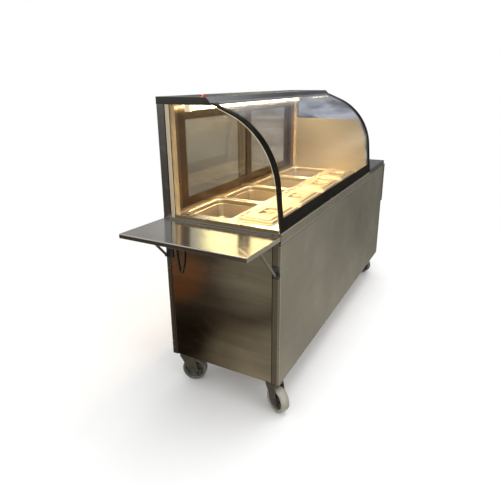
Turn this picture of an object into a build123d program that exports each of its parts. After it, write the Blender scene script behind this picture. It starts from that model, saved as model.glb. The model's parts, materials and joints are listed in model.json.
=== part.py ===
"""Mobile hot-food serving trolley: a heated well of gastronorm pans under a curved glass case,
on a stainless cabinet with castors, with a fold-down shelf at each end.

Millimetres. +Z is up, X runs along the trolley, customers stand on the -Y side and the server on +Y.
The origin is on the floor, under the middle of the whole footprint.
"""
import os
from math import asin, cos, radians, sin, tan

from build123d import *

os.makedirs("parts", exist_ok=True)

# ---------------------------------------------------------------- driving dimensions
body_length = 1930
body_depth = 600
counter_z = 912
base_z = 172
case_length = 1485
sheet = 1.5
plate = 3
running_clearance = 0.05

# Cabinet frame and panels. The customer panel stands in front of the frame.
customer_panel_fold = 12
angle_leg = 30
customer_flange = 27
server_flange = 25
hinge_rail_height = 55
foot_rail_inset = 5
middle_shelf_drop = 400
middle_shelf_edge = 25
middle_shelf_back_y = 250

# Counter and side worktop.
trim_height = 53
trim_sheet = 2
glass_lip_height = 13
worktop_step = 14
worktop_skirt = 20

# Fold-down end shelves, drawn raised. Each hinge line is just outside its end of the body.
shelf_reach = 290
shelf_thickness = 20
shelf_skin = 2
shelf_gap = 5
hinge_offset = 12
hinge_below_shelf = 6
hinge_pin_radius = 3
hinge_knuckle_radius = 6
hinge_leaf_thickness = 4
hinge_leaf_half_height = 19
hinge_centres = (-200, 200)
near_shelf_drop = 10
near_shelf_tilt = 2

# Shelf struts. The pivot is placed from the hinge line: outwards, then upwards.
strut_length = 217.4
strut_width = 12
strut_thickness = 4
strut_y = 287
strut_pivot_out = -3
strut_pivot_up = -154
strut_pin_radius = 3
strut_raised_angle = 45
strut_stop_out = 160
strut_stop_radius = 1.25
bracket_ear = 3.5
bracket_foot = 2.5
bracket_foot_height = 59

# Glass case, heights above the counter.
canopy_under = 503
canopy_top = 535
canopy_front_y = 19
canopy_brow_y = 42
canopy_lip = 9
glass_thickness = 6
glass_radius = 350
glass_centre_y = 66.7
glass_centre_up = 156.5
glass_lean = 5.5
glass_top_slope = 22
border_side = 49
border_foot = 56
border_thickness = 1
post_depth = 65
post_width = 45
splash_height = 350

# Lamp and its switch, placed from the near end of the case.
switch_from_end = 115
switch_y = 131
switch_length = 30
switch_width = 16
lamp_from_end = 105
lamp_length = 1253
lamp_y = 200
lamp_up = 482
lamp_radius = 8

# Sliding doors of the case and of the cabinet.
door_thickness = 12
track_wall = 2
track_gap = 1
inner_door_y = 259
case_jamb_from_end = 91
case_opening = 1309
case_door_length = 713
door_stile = 59
door_bottom_rail = 54
door_top_rail = 62
pane_thickness = 4
pane_bite = 8
cabinet_inner_y = 265
cabinet_door_length = 745

# Water well, heaters and drain.
well_depth = 165
well_wall = 2
well_y0 = -245
well_y1 = 256
heater_radius = 4
heater_drop = 150
heater_rows = ((-200, -70), (20, 215))
drain_from_case_end = 185
drain_y = 200
drain_outer = 12
drain_bore = 9
valve_drop = 65
spindle_radius = 4

# Service bay and mains lead.
knob_from_case_end = 150
knob_drop = 140
cord_radius = 4
cord_y_out = 242
cord_y_back = 196
gland_radius = 6
gland_drop = 110
cord_loop_drop = 281
plug_drop = 150

# Castors, evenly spaced about the middle of the frame.
wheel_radius = 63.5
wheel_width = 46
castor_trail = 38
castor_inset = 61
castor_half_track = 250
castor_plate_length = 100
castor_plate_width = 84
castor_plate_thickness = 4
castor_bolt_x = 40
castor_bolt_y = 32
castor_bolt_radius = 4
kingpin_radius = 10
axle_radius = 5

# Gastronorm pans: eight across two rows, four to a row.
pan_length = 325
pan_pitch = 344
first_pan_from_end = 80
half_pan_width = 265
third_pan_width = 176
rear_row_y = 117.5
front_row_y = -134
pan_rim = 12
rim_thickness = 1.5
pan_depth = 100
pan_wall = 1.2
pan_taper = 5

# ---------------------------------------------------------------- worked out from them
hinge_z = counter_z - shelf_thickness - hinge_below_shelf
near_hinge_z = hinge_z - near_shelf_drop
tilt = radians(near_shelf_tilt)
near_reach = hinge_offset + (shelf_gap + shelf_reach - hinge_offset) * cos(tilt)
far_reach = hinge_offset + hinge_below_shelf + shelf_thickness
near_x = -(body_length + far_reach - near_reach) / 2
far_x = near_x + body_length
case_x = near_x + case_length
side_y = body_depth / 2
customer_frame_y = -side_y + customer_panel_fold
frame_middle_y = (customer_frame_y + side_y) / 2
well_top_z = counter_z - plate
castor_plate_z = base_z - castor_plate_thickness
castor_rows = (frame_middle_y - castor_half_track, frame_middle_y + castor_half_track)
floor_z = base_z + plate
shelf_z = counter_z - middle_shelf_drop
well_x0 = near_x + 50
well_x1 = case_x - 20
heater_x0 = near_x + 120
heater_x1 = case_x - 5
heater_z = counter_z - heater_drop
drain_x = case_x - drain_from_case_end
valve_z = counter_z - well_depth - valve_drop
panel_y = side_y - plate
knob_x = case_x + knob_from_case_end
knob_z = counter_z - knob_drop
cord_x = near_x - cord_radius
gland_z = counter_z - gland_drop
switch_x = near_x + switch_from_end
lamp_x0 = near_x + lamp_from_end
lamp_x1 = lamp_x0 + lamp_length
lamp_z = counter_z + lamp_up
outer_door_y = inner_door_y + door_thickness + 2 * track_gap + track_wall
case_jamb_near = near_x + case_jamb_from_end
case_jamb_far = case_jamb_near + case_opening
case_door_low = counter_z + 8
case_door_high = counter_z + 490
cabinet_outer_y = cabinet_inner_y + door_thickness + 2 * track_gap + track_wall
cabinet_x0 = near_x + 32
cabinet_x1 = case_x - 2
cabinet_door_low = base_z + 8
cabinet_door_high = counter_z - 11


def block(x0, x1, y0, y1, z0, z1, mode=Mode.ADD):
    """Add or cut an upright rectangular block between two opposite corners."""
    with BuildSketch(Plane.XY.offset(z0)) as footprint:
        with Locations(((x0 + x1) / 2, (y0 + y1) / 2)):
            Rectangle(abs(x1 - x0), abs(y1 - y0))
    extrude(footprint.sketch, amount=z1 - z0, mode=mode)


def round_bar(plane, radius, length, mode=Mode.ADD):
    """Add or cut a round bar from a plane's origin along its normal."""
    with BuildSketch(plane) as section:
        Circle(radius)
    extrude(section.sketch, amount=length, mode=mode)


def save(part, label):
    """Label one sub-part and write its STEP file."""
    part.label = label
    export_step(part, f"parts/{label}.step")


# ---------------------------------------------------------------- cabinet
def body_frame():
    """Angle-section posts and rails welded into one frame, with gusset plates over the castors."""
    top_z = counter_z - plate
    ends = ((near_x, 1), (far_x, -1))
    with BuildPart() as frame:
        for end_x, inward in ends:
            # Corner posts: a wide customer-side flange and a narrow server-side one.
            flange_y = customer_frame_y + customer_flange
            block(end_x, end_x + inward * plate, customer_frame_y, flange_y, base_z, top_z)
            leg_x = end_x + inward * angle_leg
            block(end_x, leg_x, customer_frame_y, customer_frame_y + plate, base_z, top_z)
            block(end_x, end_x + inward * plate, side_y - server_flange, side_y, base_z, top_z)
            block(end_x, leg_x, side_y - plate, side_y, base_z, top_z)
            # Hinge rail across the top of the end and a foot rail behind the end panel.
            rail_x = end_x + inward * plate
            block(end_x, rail_x, customer_frame_y, side_y, top_z - hinge_rail_height, top_z)
            foot_x = end_x + inward * foot_rail_inset
            block(foot_x, foot_x + inward * angle_leg, customer_frame_y, side_y, base_z, base_z + plate)
            # Castor gussets.
            gusset_x = end_x + inward * castor_inset
            half_length = castor_plate_length / 2 + 5
            half_width = castor_plate_width / 2 - 1
            for y in castor_rows:
                gusset_ends = (gusset_x - half_length, gusset_x + half_length)
                block(*gusset_ends, y - half_width, y + half_width, base_z, base_z + plate)
        # Posts and cross rails between the cabinet and the service bay.
        for y0, y1, skin0, skin1 in (
            (customer_frame_y, customer_frame_y + angle_leg, customer_frame_y, customer_frame_y + plate),
            (side_y - angle_leg, side_y, side_y - plate, side_y),
        ):
            block(case_x, case_x + plate, y0, y1, base_z, top_z)
            block(case_x, case_x + angle_leg, skin0, skin1, base_z, top_z)
            # Long rails: an upright leg and a level leg, at the foot and at the top.
            block(near_x, far_x, skin0, skin1, base_z, base_z + angle_leg)
            block(near_x, far_x, y0, y1, base_z, base_z + plate)
            block(near_x, far_x, skin0, skin1, top_z - angle_leg, top_z)
            block(near_x, far_x, y0, y1, top_z - plate, top_z)
        block(case_x, case_x + angle_leg, customer_frame_y, side_y, base_z, base_z + plate)
        block(case_x, case_x + plate, customer_frame_y, side_y, top_z - angle_leg, top_z)
        # Bolt holes through the gussets.
        for end_x, inward in ends:
            for y in castor_rows:
                for x_side in (-castor_bolt_x, castor_bolt_x):
                    for y_side in (-castor_bolt_y, castor_bolt_y):
                        hole_x = end_x + inward * castor_inset + x_side
                        round_bar(
                            Plane(origin=(hole_x, y + y_side, base_z - 1)),
                            castor_bolt_radius,
                            plate + 2,
                            mode=Mode.SUBTRACT,
                        )
    save(frame.part, "body_frame")


def floor_panel():
    """Flat cabinet floor laid on the level legs of the foot rails, clear of the door track."""
    with BuildPart() as floor:
        track_y = cabinet_inner_y - track_gap - track_wall
        x0 = near_x + foot_rail_inset
        x1 = far_x - foot_rail_inset
        block(x0, x1, customer_frame_y + plate, track_y, floor_z, floor_z + sheet)
        # Notch round the upright between the cabinet and the service bay.
        notch_y = customer_frame_y + angle_leg
        block(case_x, case_x + plate, customer_frame_y, notch_y, floor_z, floor_z + sheet, Mode.SUBTRACT)
    save(floor.part, "floor_panel")


def middle_shelf():
    """Storage shelf half way up the cabinet, with its edges turned down."""
    low = shelf_z - middle_shelf_edge
    x0 = near_x + foot_rail_inset
    x1 = case_x
    y0 = customer_frame_y + plate
    y1 = middle_shelf_back_y
    with BuildPart() as shelf_sheet:
        block(x0, x1, y0, y1, shelf_z - sheet, shelf_z)
        block(x0, x1, y0, y0 + sheet, low, shelf_z)
        block(x0, x1, y1 - sheet, y1, low, shelf_z)
        block(x0, x0 + sheet, y0, y1, low, shelf_z)
        block(x1 - sheet, x1, y0, y1, low, shelf_z)
    save(shelf_sheet.part, "middle_shelf")


def customer_panel():
    """Full-length front panel: a skin folded back all round, stepping up beside the side worktop."""
    fold = customer_panel_fold
    high = counter_z - trim_height
    high_far = counter_z - worktop_skirt
    outline = [
        (near_x, base_z),
        (far_x, base_z),
        (far_x, high_far),
        (case_x, high_far),
        (case_x, high),
        (near_x, high),
    ]
    with BuildPart() as panel:
        with BuildSketch(Plane.XZ.offset(side_y)):
            with BuildLine():
                Polyline(*outline, close=True)
            make_face()
        extrude(amount=-fold)
        with BuildSketch(Plane.XZ.offset(side_y - sheet)):
            with BuildLine():
                Polyline(*outline, close=True)
            make_face()
            offset(amount=-sheet, kind=Kind.INTERSECTION)
        extrude(amount=-fold, mode=Mode.SUBTRACT)
    save(panel.part, "customer_panel")


def end_panel(label, outer_x, inward, holes=()):
    """Flat sheet behind the post flanges of one end, with any round holes through it."""
    x0 = outer_x + inward * plate
    x1 = outer_x + inward * foot_rail_inset
    with BuildPart() as panel:
        block(x0, x1, customer_frame_y + plate, side_y - plate, base_z + plate, counter_z - plate)
        for y, z, radius in holes:
            hole = Plane(origin=(x0 - inward, y, z), z_dir=(inward, 0, 0))
            round_bar(hole, radius, foot_rail_inset, mode=Mode.SUBTRACT)
        # Notches round the level legs of the long rails.
        for y0 in (customer_frame_y, side_y - angle_leg):
            block(x0, x1, y0, y0 + angle_leg, counter_z - 2 * plate, counter_z - plate, Mode.SUBTRACT)
    save(panel.part, label)


# ---------------------------------------------------------------- counter, worktop and well
def pan_places():
    """Name, centre and width of every pan: the open rear row and the lidded front row."""
    places = []
    for row, y, width in (("rear", rear_row_y, half_pan_width), ("front", front_row_y, third_pan_width)):
        for number in range(4):
            x = near_x + first_pan_from_end + pan_length / 2 + number * pan_pitch
            places.append((f"{row}_pan_{number + 1}", x, y, width))
    return places


def counter_top():
    """Counter sheet with a cut-out for each pan and a deep folded trim on the customer side."""
    cutout_gap = 1
    with BuildPart() as counter:
        block(near_x, case_x, -side_y, side_y, counter_z - plate, counter_z)
        # Customer-side trim: front skin, bottom return and a closed near end.
        trim_z = counter_z - trim_height
        block(near_x, case_x, -side_y, -side_y + trim_sheet, trim_z, counter_z - plate)
        block(near_x, case_x, -side_y, customer_frame_y, trim_z, trim_z + trim_sheet)
        block(near_x, near_x + trim_sheet, -side_y, customer_frame_y, trim_z, counter_z - plate)
        # Upstand along the near end, outside the foot of the end pane.
        lip_y0 = case_curve(glass_thickness + border_thickness)[0][0] + plate
        lip_z = counter_z + glass_lip_height
        block(near_x, near_x + plate, lip_y0, side_y - post_depth, counter_z, lip_z)
        with BuildSketch(Plane.XY.offset(counter_z - plate)):
            for _, x, y, width in pan_places():
                with Locations((x, y)):
                    RectangleRounded(
                        pan_length - 2 * pan_rim + 2 * cutout_gap,
                        width - 2 * pan_rim + 2 * cutout_gap,
                        32,
                    )
        extrude(amount=plate, mode=Mode.SUBTRACT)
    save(counter.part, "counter_top")


def side_worktop():
    """Dark worktop slab over the service bay, a little above the counter, with a front skirt."""
    slab_z = counter_z - plate
    top_z = counter_z + worktop_step
    with BuildPart() as worktop:
        block(case_x, far_x, -side_y, side_y, slab_z, top_z)
        fillet(worktop.edges().group_by(Axis.Z)[-1].filter_by(Axis.X), radius=4)
        fillet(worktop.edges().group_by(Axis.X)[-1].filter_by(Axis.Y).group_by(Axis.Z)[-1], radius=4)
        block(case_x, far_x, -side_y, customer_frame_y, counter_z - worktop_skirt, slab_z)
    save(worktop.part, "side_worktop")


def water_well():
    """Open heated tank under the pans, with a rim flange, a drain hole and the heater holes."""
    floor = counter_z - well_depth
    with BuildPart() as well:
        block(well_x0, well_x1, well_y0, well_y1, floor, well_top_z)
        block(well_x0 - 10, well_x1 + 10, well_y0 - 10, well_y1 + 10, well_top_z - 2, well_top_z)
        block(
            well_x0 + well_wall,
            well_x1 - well_wall,
            well_y0 + well_wall,
            well_y1 - well_wall,
            floor + well_wall,
            well_top_z,
            Mode.SUBTRACT,
        )
        round_bar(Plane(origin=(drain_x, drain_y, floor - 1)), drain_bore, 4, mode=Mode.SUBTRACT)
        for y0, y1 in heater_rows:
            for y in (y0, y1):
                round_bar(
                    Plane(origin=(well_x1 - 5, y, heater_z), z_dir=(1, 0, 0)),
                    heater_radius,
                    20,
                    mode=Mode.SUBTRACT,
                )
    save(well.part, "water_well")


def heating_elements():
    """Two tubular heater loops near the bottom of the well; their ends pass through its far wall."""
    with BuildPart() as heaters:
        for y0, y1 in heater_rows:
            bend = 30
            with BuildLine():
                first = Line((heater_x1, y0, heater_z), (heater_x0 + bend, y0, heater_z))
                arc_in = RadiusArc(first @ 1, (heater_x0, y0 + bend, heater_z), -bend)
                cross = Line(arc_in @ 1, (heater_x0, y1 - bend, heater_z))
                arc_out = RadiusArc(cross @ 1, (heater_x0 + bend, y1, heater_z), -bend)
                Line(arc_out @ 1, (heater_x1, y1, heater_z))
            with BuildSketch(Plane(origin=(heater_x1, y0, heater_z), z_dir=(-1, 0, 0))):
                Circle(heater_radius)
            sweep()
    save(heaters.part, "heating_elements")


def drain_valve():
    """Drain pipe below the well with a ball-valve body, a spindle boss and a hose tail."""
    top_z = counter_z - well_depth
    tail_z = top_z - 180
    with BuildPart() as valve:
        round_bar(Plane(origin=(drain_x, drain_y, tail_z)), drain_outer, top_z - tail_z)
        with BuildSketch(Plane.XY.offset(valve_z - 25)):
            with Locations((drain_x, drain_y)):
                RegularPolygon(22, 6)
        extrude(amount=50)
        # The flange clamps against the underside of the well.
        round_bar(Plane(origin=(drain_x, drain_y, top_z - 3)), 24, 3)
        round_bar(Plane(origin=(drain_x, drain_y, valve_z), z_dir=(0, 1, 0)), 8, 26)
        round_bar(Plane(origin=(drain_x, drain_y, valve_z), z_dir=(0, 1, 0)), spindle_radius, 36)
        round_bar(
            Plane(origin=(drain_x, drain_y, tail_z - 1)),
            drain_bore,
            top_z - tail_z + 2,
            mode=Mode.SUBTRACT,
        )
        # The closed ball inside the valve.
        round_bar(Plane(origin=(drain_x, drain_y, valve_z - 10)), drain_outer, 20)
    save(valve.part, "drain_valve")


def drain_lever():
    """Quarter-turn lever on the valve spindle, lying level while the valve is closed."""
    hub_y = drain_y + 27
    length = 85
    with BuildPart() as lever:
        with BuildSketch(Plane(origin=(drain_x, hub_y, valve_z), x_dir=(-1, 0, 0), z_dir=(0, 1, 0))):
            Circle(10)
            with Locations((length / 2, 0)):
                SlotOverall(length, 14)
            Circle(spindle_radius + running_clearance, mode=Mode.SUBTRACT)
        extrude(amount=5)
        with BuildSketch(
            Plane(origin=(drain_x, hub_y + 5, valve_z), x_dir=(-1, 0, 0), z_dir=(0, 1, 0))
        ):
            with Locations((length * 0.62, 0)):
                SlotOverall(length * 0.62, 14)
        extrude(amount=4)
    save(lever.part, "drain_lever")


# ---------------------------------------------------------------- service bay
def control_panel():
    """Server-side service panel with the control box welded behind it."""
    x0 = case_x + plate
    x1 = far_x - 5
    box_x0 = case_x + 75
    box_x1 = far_x - 70
    box_y = 180
    with BuildPart() as panel:
        block(x0, x1, panel_y - plate, panel_y, base_z + plate, counter_z - 2 * plate)
        block(box_x0, box_x1, box_y, panel_y - plate, counter_z - 260, counter_z - 60)
        block(
            box_x0 + sheet,
            box_x1 - sheet,
            box_y + sheet,
            panel_y - plate,
            counter_z - 260 + sheet,
            counter_z - 60 - sheet,
            Mode.SUBTRACT,
        )
        round_bar(
            Plane(origin=(knob_x, panel_y - 10, knob_z), z_dir=(0, 1, 0)),
            spindle_radius + running_clearance,
            20,
            mode=Mode.SUBTRACT,
        )
    save(panel.part, "control_panel")


def thermostat_knob():
    """Thermostat knob with a raised pointer, on its shaft through the service panel."""
    with BuildPart() as knob:
        round_bar(Plane(origin=(knob_x, panel_y - 14, knob_z), z_dir=(0, 1, 0)), spindle_radius, 16)
        with BuildSketch(Plane(origin=(knob_x, panel_y + 1, knob_z), z_dir=(0, 1, 0))):
            Circle(24)
        extrude(amount=4)
        with BuildSketch(Plane(origin=(knob_x, panel_y + 5, knob_z), z_dir=(0, 1, 0))):
            Circle(19)
        extrude(amount=14, taper=6)
        with BuildSketch(Plane(origin=(knob_x, panel_y + 5, knob_z), z_dir=(0, 1, 0))):
            Rectangle(8, 38)
        extrude(amount=17)
    save(knob.part, "thermostat_knob")


# ---------------------------------------------------------------- mains lead
def power_cord():
    """Mains lead: out of a gland in the near end panel, down round a loop and up to its parked plug."""
    bend = 10
    half = (cord_y_out - cord_y_back) / 2
    low_z = counter_z - cord_loop_drop + cord_radius + half
    plug_z = counter_z - plug_drop
    panel_x = near_x + plate
    with BuildPart() as cord:
        with BuildLine():
            out = Line((panel_x + 6, cord_y_out, gland_z), (cord_x + bend, cord_y_out, gland_z))
            turn = ThreePointArc(
                out @ 1,
                (
                    cord_x + bend - bend * sin(radians(45)),
                    cord_y_out,
                    gland_z - bend + bend * cos(radians(45)),
                ),
                (cord_x, cord_y_out, gland_z - bend),
            )
            down = Line(turn @ 1, (cord_x, cord_y_out, low_z))
            loop = ThreePointArc(
                down @ 1,
                (cord_x, cord_y_out - half, low_z - half),
                (cord_x, cord_y_back, low_z),
            )
            Line(loop @ 1, (cord_x, cord_y_back, plug_z))
        with BuildSketch(Plane(origin=(panel_x + 6, cord_y_out, gland_z), z_dir=(-1, 0, 0))):
            Circle(cord_radius)
        sweep()
        # Gland nut in the panel hole.
        round_bar(Plane(origin=(panel_x, cord_y_out, gland_z), z_dir=(1, 0, 0)), gland_radius, 5)
        # Plug parked pins-up against the panel.
        with BuildSketch(Plane.XY.offset(plug_z)):
            with Locations((cord_x, cord_y_back)):
                Circle(6)
        extrude(amount=16)
        with BuildSketch(Plane.XY.offset(plug_z + 16)):
            with Locations((cord_x - 2.5, cord_y_back)):
                RectangleRounded(19, 34, 6)
        extrude(amount=26)
        with BuildSketch(Plane.XY.offset(plug_z + 42)):
            with Locations((cord_x - 2.5, cord_y_back - 9.5), (cord_x - 2.5, cord_y_back + 9.5)):
                Circle(2.4)
        extrude(amount=19)
    save(cord.part, "power_cord")


# ---------------------------------------------------------------- glass case
def arc_point(inset, angle):
    """Point on the case front's arc, moved inwards by inset, at an angle above level."""
    radius = glass_radius - inset
    return (
        glass_centre_y - radius * cos(angle),
        counter_z + glass_centre_up + radius * sin(angle),
    )


def case_curve(inset):
    """Foot, arc start, arc middle, arc end and top of the case front, moved inwards by inset."""
    lean = radians(glass_lean)
    slope = radians(glass_top_slope)
    last_angle = radians(90) - slope
    start = arc_point(inset, lean)
    middle = arc_point(inset, (lean + last_angle) / 2)
    end = arc_point(inset, last_angle)
    foot = (start[0] - (start[1] - counter_z) * tan(lean), counter_z)
    top = (canopy_front_y, end[1] + (canopy_front_y - end[0]) * tan(slope))
    return foot, start, middle, end, top


def curved_layer(x0, length, outer, inner, mode=Mode.ADD):
    """Add or cut one layer of the curved front, between two depths below its outer face."""
    outside = case_curve(outer)
    inside = case_curve(inner)
    with BuildSketch(Plane.YZ.offset(x0)) as layer:
        with BuildLine():
            Line(outside[0], outside[1])
            ThreePointArc(outside[1], outside[2], outside[3])
            Line(outside[3], outside[4])
            Line(outside[4], inside[4])
            Line(inside[4], inside[3])
            ThreePointArc(inside[3], inside[2], inside[1])
            Line(inside[1], inside[0])
            Line(inside[0], outside[0])
        make_face()
    extrude(layer.sketch, amount=length, mode=mode)


def curved_glass():
    """Curved front pane from the counter up to the canopy."""
    with BuildPart() as glass:
        curved_layer(near_x, case_length, 0, glass_thickness)
    save(glass.part, "curved_glass")


def glass_border():
    """Black border layer bonded inside the curved pane along both ends and the foot."""
    inner = glass_thickness + border_thickness
    window_x = near_x + border_side
    window_length = case_length - 2 * border_side
    with BuildPart() as border:
        curved_layer(near_x, case_length, glass_thickness, inner)
        with BuildSketch(Plane.XZ.offset(side_y + 10)):
            with Locations((window_x + window_length / 2, counter_z + border_foot + 300)):
                Rectangle(window_length, 600)
        extrude(amount=-(side_y + 10 + canopy_brow_y), mode=Mode.SUBTRACT)
    save(border.part, "glass_border")


def end_glass():
    """Flat panes closing both ends of the case, inside the curved front."""
    inset = glass_thickness + border_thickness
    foot, start, middle, end, _ = case_curve(inset)
    roof_z = counter_z + canopy_under
    meet_y = end[0] + (roof_z - end[1]) / tan(radians(glass_top_slope))
    post_y = side_y - post_depth
    with BuildPart() as panes:
        for x in (near_x + 3, case_x - 3 - glass_thickness):
            with BuildSketch(Plane.YZ.offset(x)):
                with BuildLine():
                    Line(foot, start)
                    ThreePointArc(start, middle, end)
                    Line(end, (meet_y, roof_z))
                    Line((meet_y, roof_z), (post_y, roof_z))
                    Line((post_y, roof_z), (post_y, counter_z))
                    Line((post_y, counter_z), foot)
                make_face()
            extrude(amount=glass_thickness)
    save(panes.part, "end_glass")


def case_posts():
    """Hollow rear posts of the case, one at each end."""
    post_y = side_y - post_depth / 2
    with BuildPart() as posts:
        with BuildSketch(Plane.XY.offset(counter_z)):
            with Locations((near_x + post_width / 2, post_y), (case_x - post_width / 2, post_y)):
                RectangleRounded(post_width, post_depth, 3)
                RectangleRounded(post_width - 2 * sheet, post_depth - 2 * sheet, 2, mode=Mode.SUBTRACT)
        extrude(amount=canopy_under)
    save(posts.part, "case_posts")


def canopy_section(inset):
    """Canopy end outline: vertical lip, sloped brow, flat roof and straight back."""
    low = counter_z + canopy_under
    high = counter_z + canopy_top - inset
    lip = low + canopy_lip
    lean_in = inset * tan(radians(22.5))
    return [
        (canopy_front_y + inset, low),
        (canopy_front_y + inset, lip - lean_in),
        (canopy_brow_y + lean_in, high),
        (side_y - inset, high),
        (side_y - inset, low),
    ]


def canopy():
    """Slim folded canopy, open below, with a sloped brow and a slot for the lamp switch."""
    with BuildPart() as roof:
        with BuildSketch(Plane.YZ.offset(near_x)):
            with BuildLine():
                Polyline(*canopy_section(0), close=True)
            make_face()
        extrude(amount=case_length)
        with BuildSketch(Plane.YZ.offset(near_x + sheet)):
            with BuildLine():
                Polyline(*canopy_section(sheet), close=True)
            make_face()
        extrude(amount=case_length - 2 * sheet, mode=Mode.SUBTRACT)
        block(
            switch_x - switch_width / 2,
            switch_x + switch_width / 2,
            switch_y - switch_length / 2,
            switch_y + switch_length / 2,
            counter_z + canopy_top - 5,
            counter_z + canopy_top + 5,
            Mode.SUBTRACT,
        )
    save(roof.part, "canopy")


def lamp_switch():
    """Rocker of the lamp switch, standing proud of the roof and tilted to its on position."""
    tilt = radians(8)
    half = switch_length / 2 - 1.5
    origin = (switch_x - switch_width / 2 + 1, switch_y, counter_z + canopy_top - 3)
    rocker_plane = Plane(origin=origin, x_dir=(0, cos(tilt), sin(tilt)), z_dir=(1, 0, 0))
    with BuildPart() as rocker:
        with BuildSketch(rocker_plane):
            with BuildLine():
                Polyline((-half + 2, -7), (-half, 9), (0, 6.5), (half, 9), (half - 2, -7), close=True)
            make_face()
        extrude(amount=switch_width - 2)
    save(rocker.part, "lamp_switch")


def lamp_reflector():
    """Reflector plate closing the underside of the canopy, with a lamp holder at each end."""
    low = counter_z + canopy_under
    holder_depth = 34
    with BuildPart() as reflector:
        block(near_x + sheet, case_x - sheet, canopy_front_y + sheet, side_y - sheet, low, low + sheet)
        for holder_x0, holder_x1 in ((lamp_x0 - 18, lamp_x0), (lamp_x1, lamp_x1 + 18)):
            block(holder_x0, holder_x1, lamp_y - 13, lamp_y + 13, low - holder_depth, low)
        # Shallow reflector wings on both sides of the lamp.
        for y, lean in ((lamp_y - 24, -1), (lamp_y + 24, 1)):
            with BuildSketch(Plane.YZ.offset(lamp_x0 - 18)):
                with BuildLine():
                    Polyline(
                        (y, low),
                        (y + sheet, low),
                        (y + lean * 12 + sheet, low - 14),
                        (y + lean * 12, low - 14),
                        close=True,
                    )
                make_face()
            extrude(amount=lamp_x1 - lamp_x0 + 36)
    save(reflector.part, "lamp_reflector")


def lamp_tube():
    """Long warm lamp tube between its two holders."""
    with BuildPart() as tube:
        round_bar(
            Plane(origin=(lamp_x0, lamp_y, lamp_z), z_dir=(1, 0, 0)), lamp_radius, lamp_x1 - lamp_x0
        )
    save(tube.part, "lamp_tube")


def splash_panel():
    """Upright sheet at the far end of the case, following the curved front, its top edge hemmed."""
    clearance = 8
    x1 = case_x - post_width
    x0 = x1 - 2
    back_y = side_y - post_depth - 1
    top_z = counter_z + splash_height
    inset = glass_thickness + border_thickness + clearance
    foot, start, _, _, _ = case_curve(inset)
    top_angle = asin((splash_height - glass_centre_up) / (glass_radius - inset))
    edge_top = arc_point(inset, top_angle)
    edge_middle = arc_point(inset, (top_angle + radians(glass_lean)) / 2)
    with BuildPart() as splash:
        with BuildSketch(Plane.YZ.offset(x0)):
            with BuildLine():
                Line(foot, start)
                ThreePointArc(start, edge_middle, edge_top)
                Line(edge_top, (back_y, top_z))
                Line((back_y, top_z), (back_y, counter_z))
                Line((back_y, counter_z), foot)
            make_face()
        extrude(amount=x1 - x0)
        block(x0 - 4, x1, edge_top[0], back_y, top_z - 10, top_z)
        fillet(splash.edges().filter_by(Axis.Y).group_by(Axis.Z)[-1], radius=0.9)
    save(splash.part, "splash_panel")


# ---------------------------------------------------------------- sliding doors
def track(x0, x1, first_y, base, away, depth):
    """Add a twin-channel door track: a base strip and three ribs, opening up (1) or down (-1)."""
    pitch = door_thickness + 2 * track_gap + track_wall
    rib_y = first_y - track_gap - track_wall
    low, high = sorted((base, base + away * plate))
    block(x0, x1, rib_y, rib_y + 2 * pitch + track_wall, low, high)
    for rib in range(3):
        y = rib_y + rib * pitch
        rib_low, rib_high = sorted((base, base + away * depth))
        block(x0, x1, y, y + track_wall, rib_low, rib_high)


def case_door_tracks():
    """Upper and lower tracks of the glass doors, joined by a jamb at each end."""
    first_y = inner_door_y
    back_y = outer_door_y + door_thickness + track_gap
    front_y = first_y - track_gap - track_wall
    x0 = near_x + post_width
    x1 = case_x - post_width
    with BuildPart() as tracks:
        track(x0, x1, first_y, counter_z, 1, 16)
        track(x0, x1, first_y, counter_z + canopy_under, -1, 21)
        for a, b in ((x0, case_jamb_near), (case_jamb_far, x1)):
            block(a, b, front_y, front_y + track_wall, counter_z, counter_z + canopy_under)
            block(a, b, back_y, back_y + track_wall, counter_z, counter_z + canopy_under)
        face_near = case_jamb_near - 1
        for a in (face_near - track_wall, case_jamb_far + 1):
            block(a, a + track_wall, front_y, back_y, counter_z, counter_z + canopy_under)
    save(tracks.part, "case_door_tracks")


def pane_box(x0, y0, mode=Mode.ADD):
    """Add or cut the glass pane of a case door that starts at x0, y0."""
    mid = (door_thickness - pane_thickness) / 2
    block(
        x0 + door_stile - pane_bite,
        x0 + case_door_length - door_stile + pane_bite,
        y0 + mid,
        y0 + mid + pane_thickness,
        case_door_low + door_bottom_rail - pane_bite,
        case_door_high - door_top_rail + pane_bite,
        mode,
    )


def glass_door(label, x0, y0, pull_x):
    """Sliding door frame with a rebated window and a flush finger pull, and its glass pane."""
    with BuildPart() as door:
        block(x0, x0 + case_door_length, y0, y0 + door_thickness, case_door_low, case_door_high)
        block(
            x0 + door_stile,
            x0 + case_door_length - door_stile,
            y0,
            y0 + door_thickness,
            case_door_low + door_bottom_rail,
            case_door_high - door_top_rail,
            Mode.SUBTRACT,
        )
        pane_box(x0, y0, mode=Mode.SUBTRACT)
        pull_z = (case_door_low + case_door_high) / 2
        pull_plane = Plane(
            origin=(pull_x, y0 + door_thickness, pull_z), x_dir=(0, 0, 1), z_dir=(0, 1, 0)
        )
        with BuildSketch(pull_plane):
            SlotOverall(110, 24)
        extrude(amount=-8, mode=Mode.SUBTRACT)
    save(door.part, f"{label}_glass_door")
    with BuildPart() as pane:
        pane_box(x0, y0)
    save(pane.part, f"{label}_door_pane")


def cabinet_door_tracks():
    """Upper and lower tracks of the cabinet doors, fixed to the server-side rails."""
    with BuildPart() as tracks:
        track(cabinet_x0, cabinet_x1, cabinet_inner_y, base_z + plate, 1, 14)
        track(cabinet_x0, cabinet_x1, cabinet_inner_y, counter_z - 2 * plate, -1, 15)
    save(tracks.part, "cabinet_door_tracks")


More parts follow.
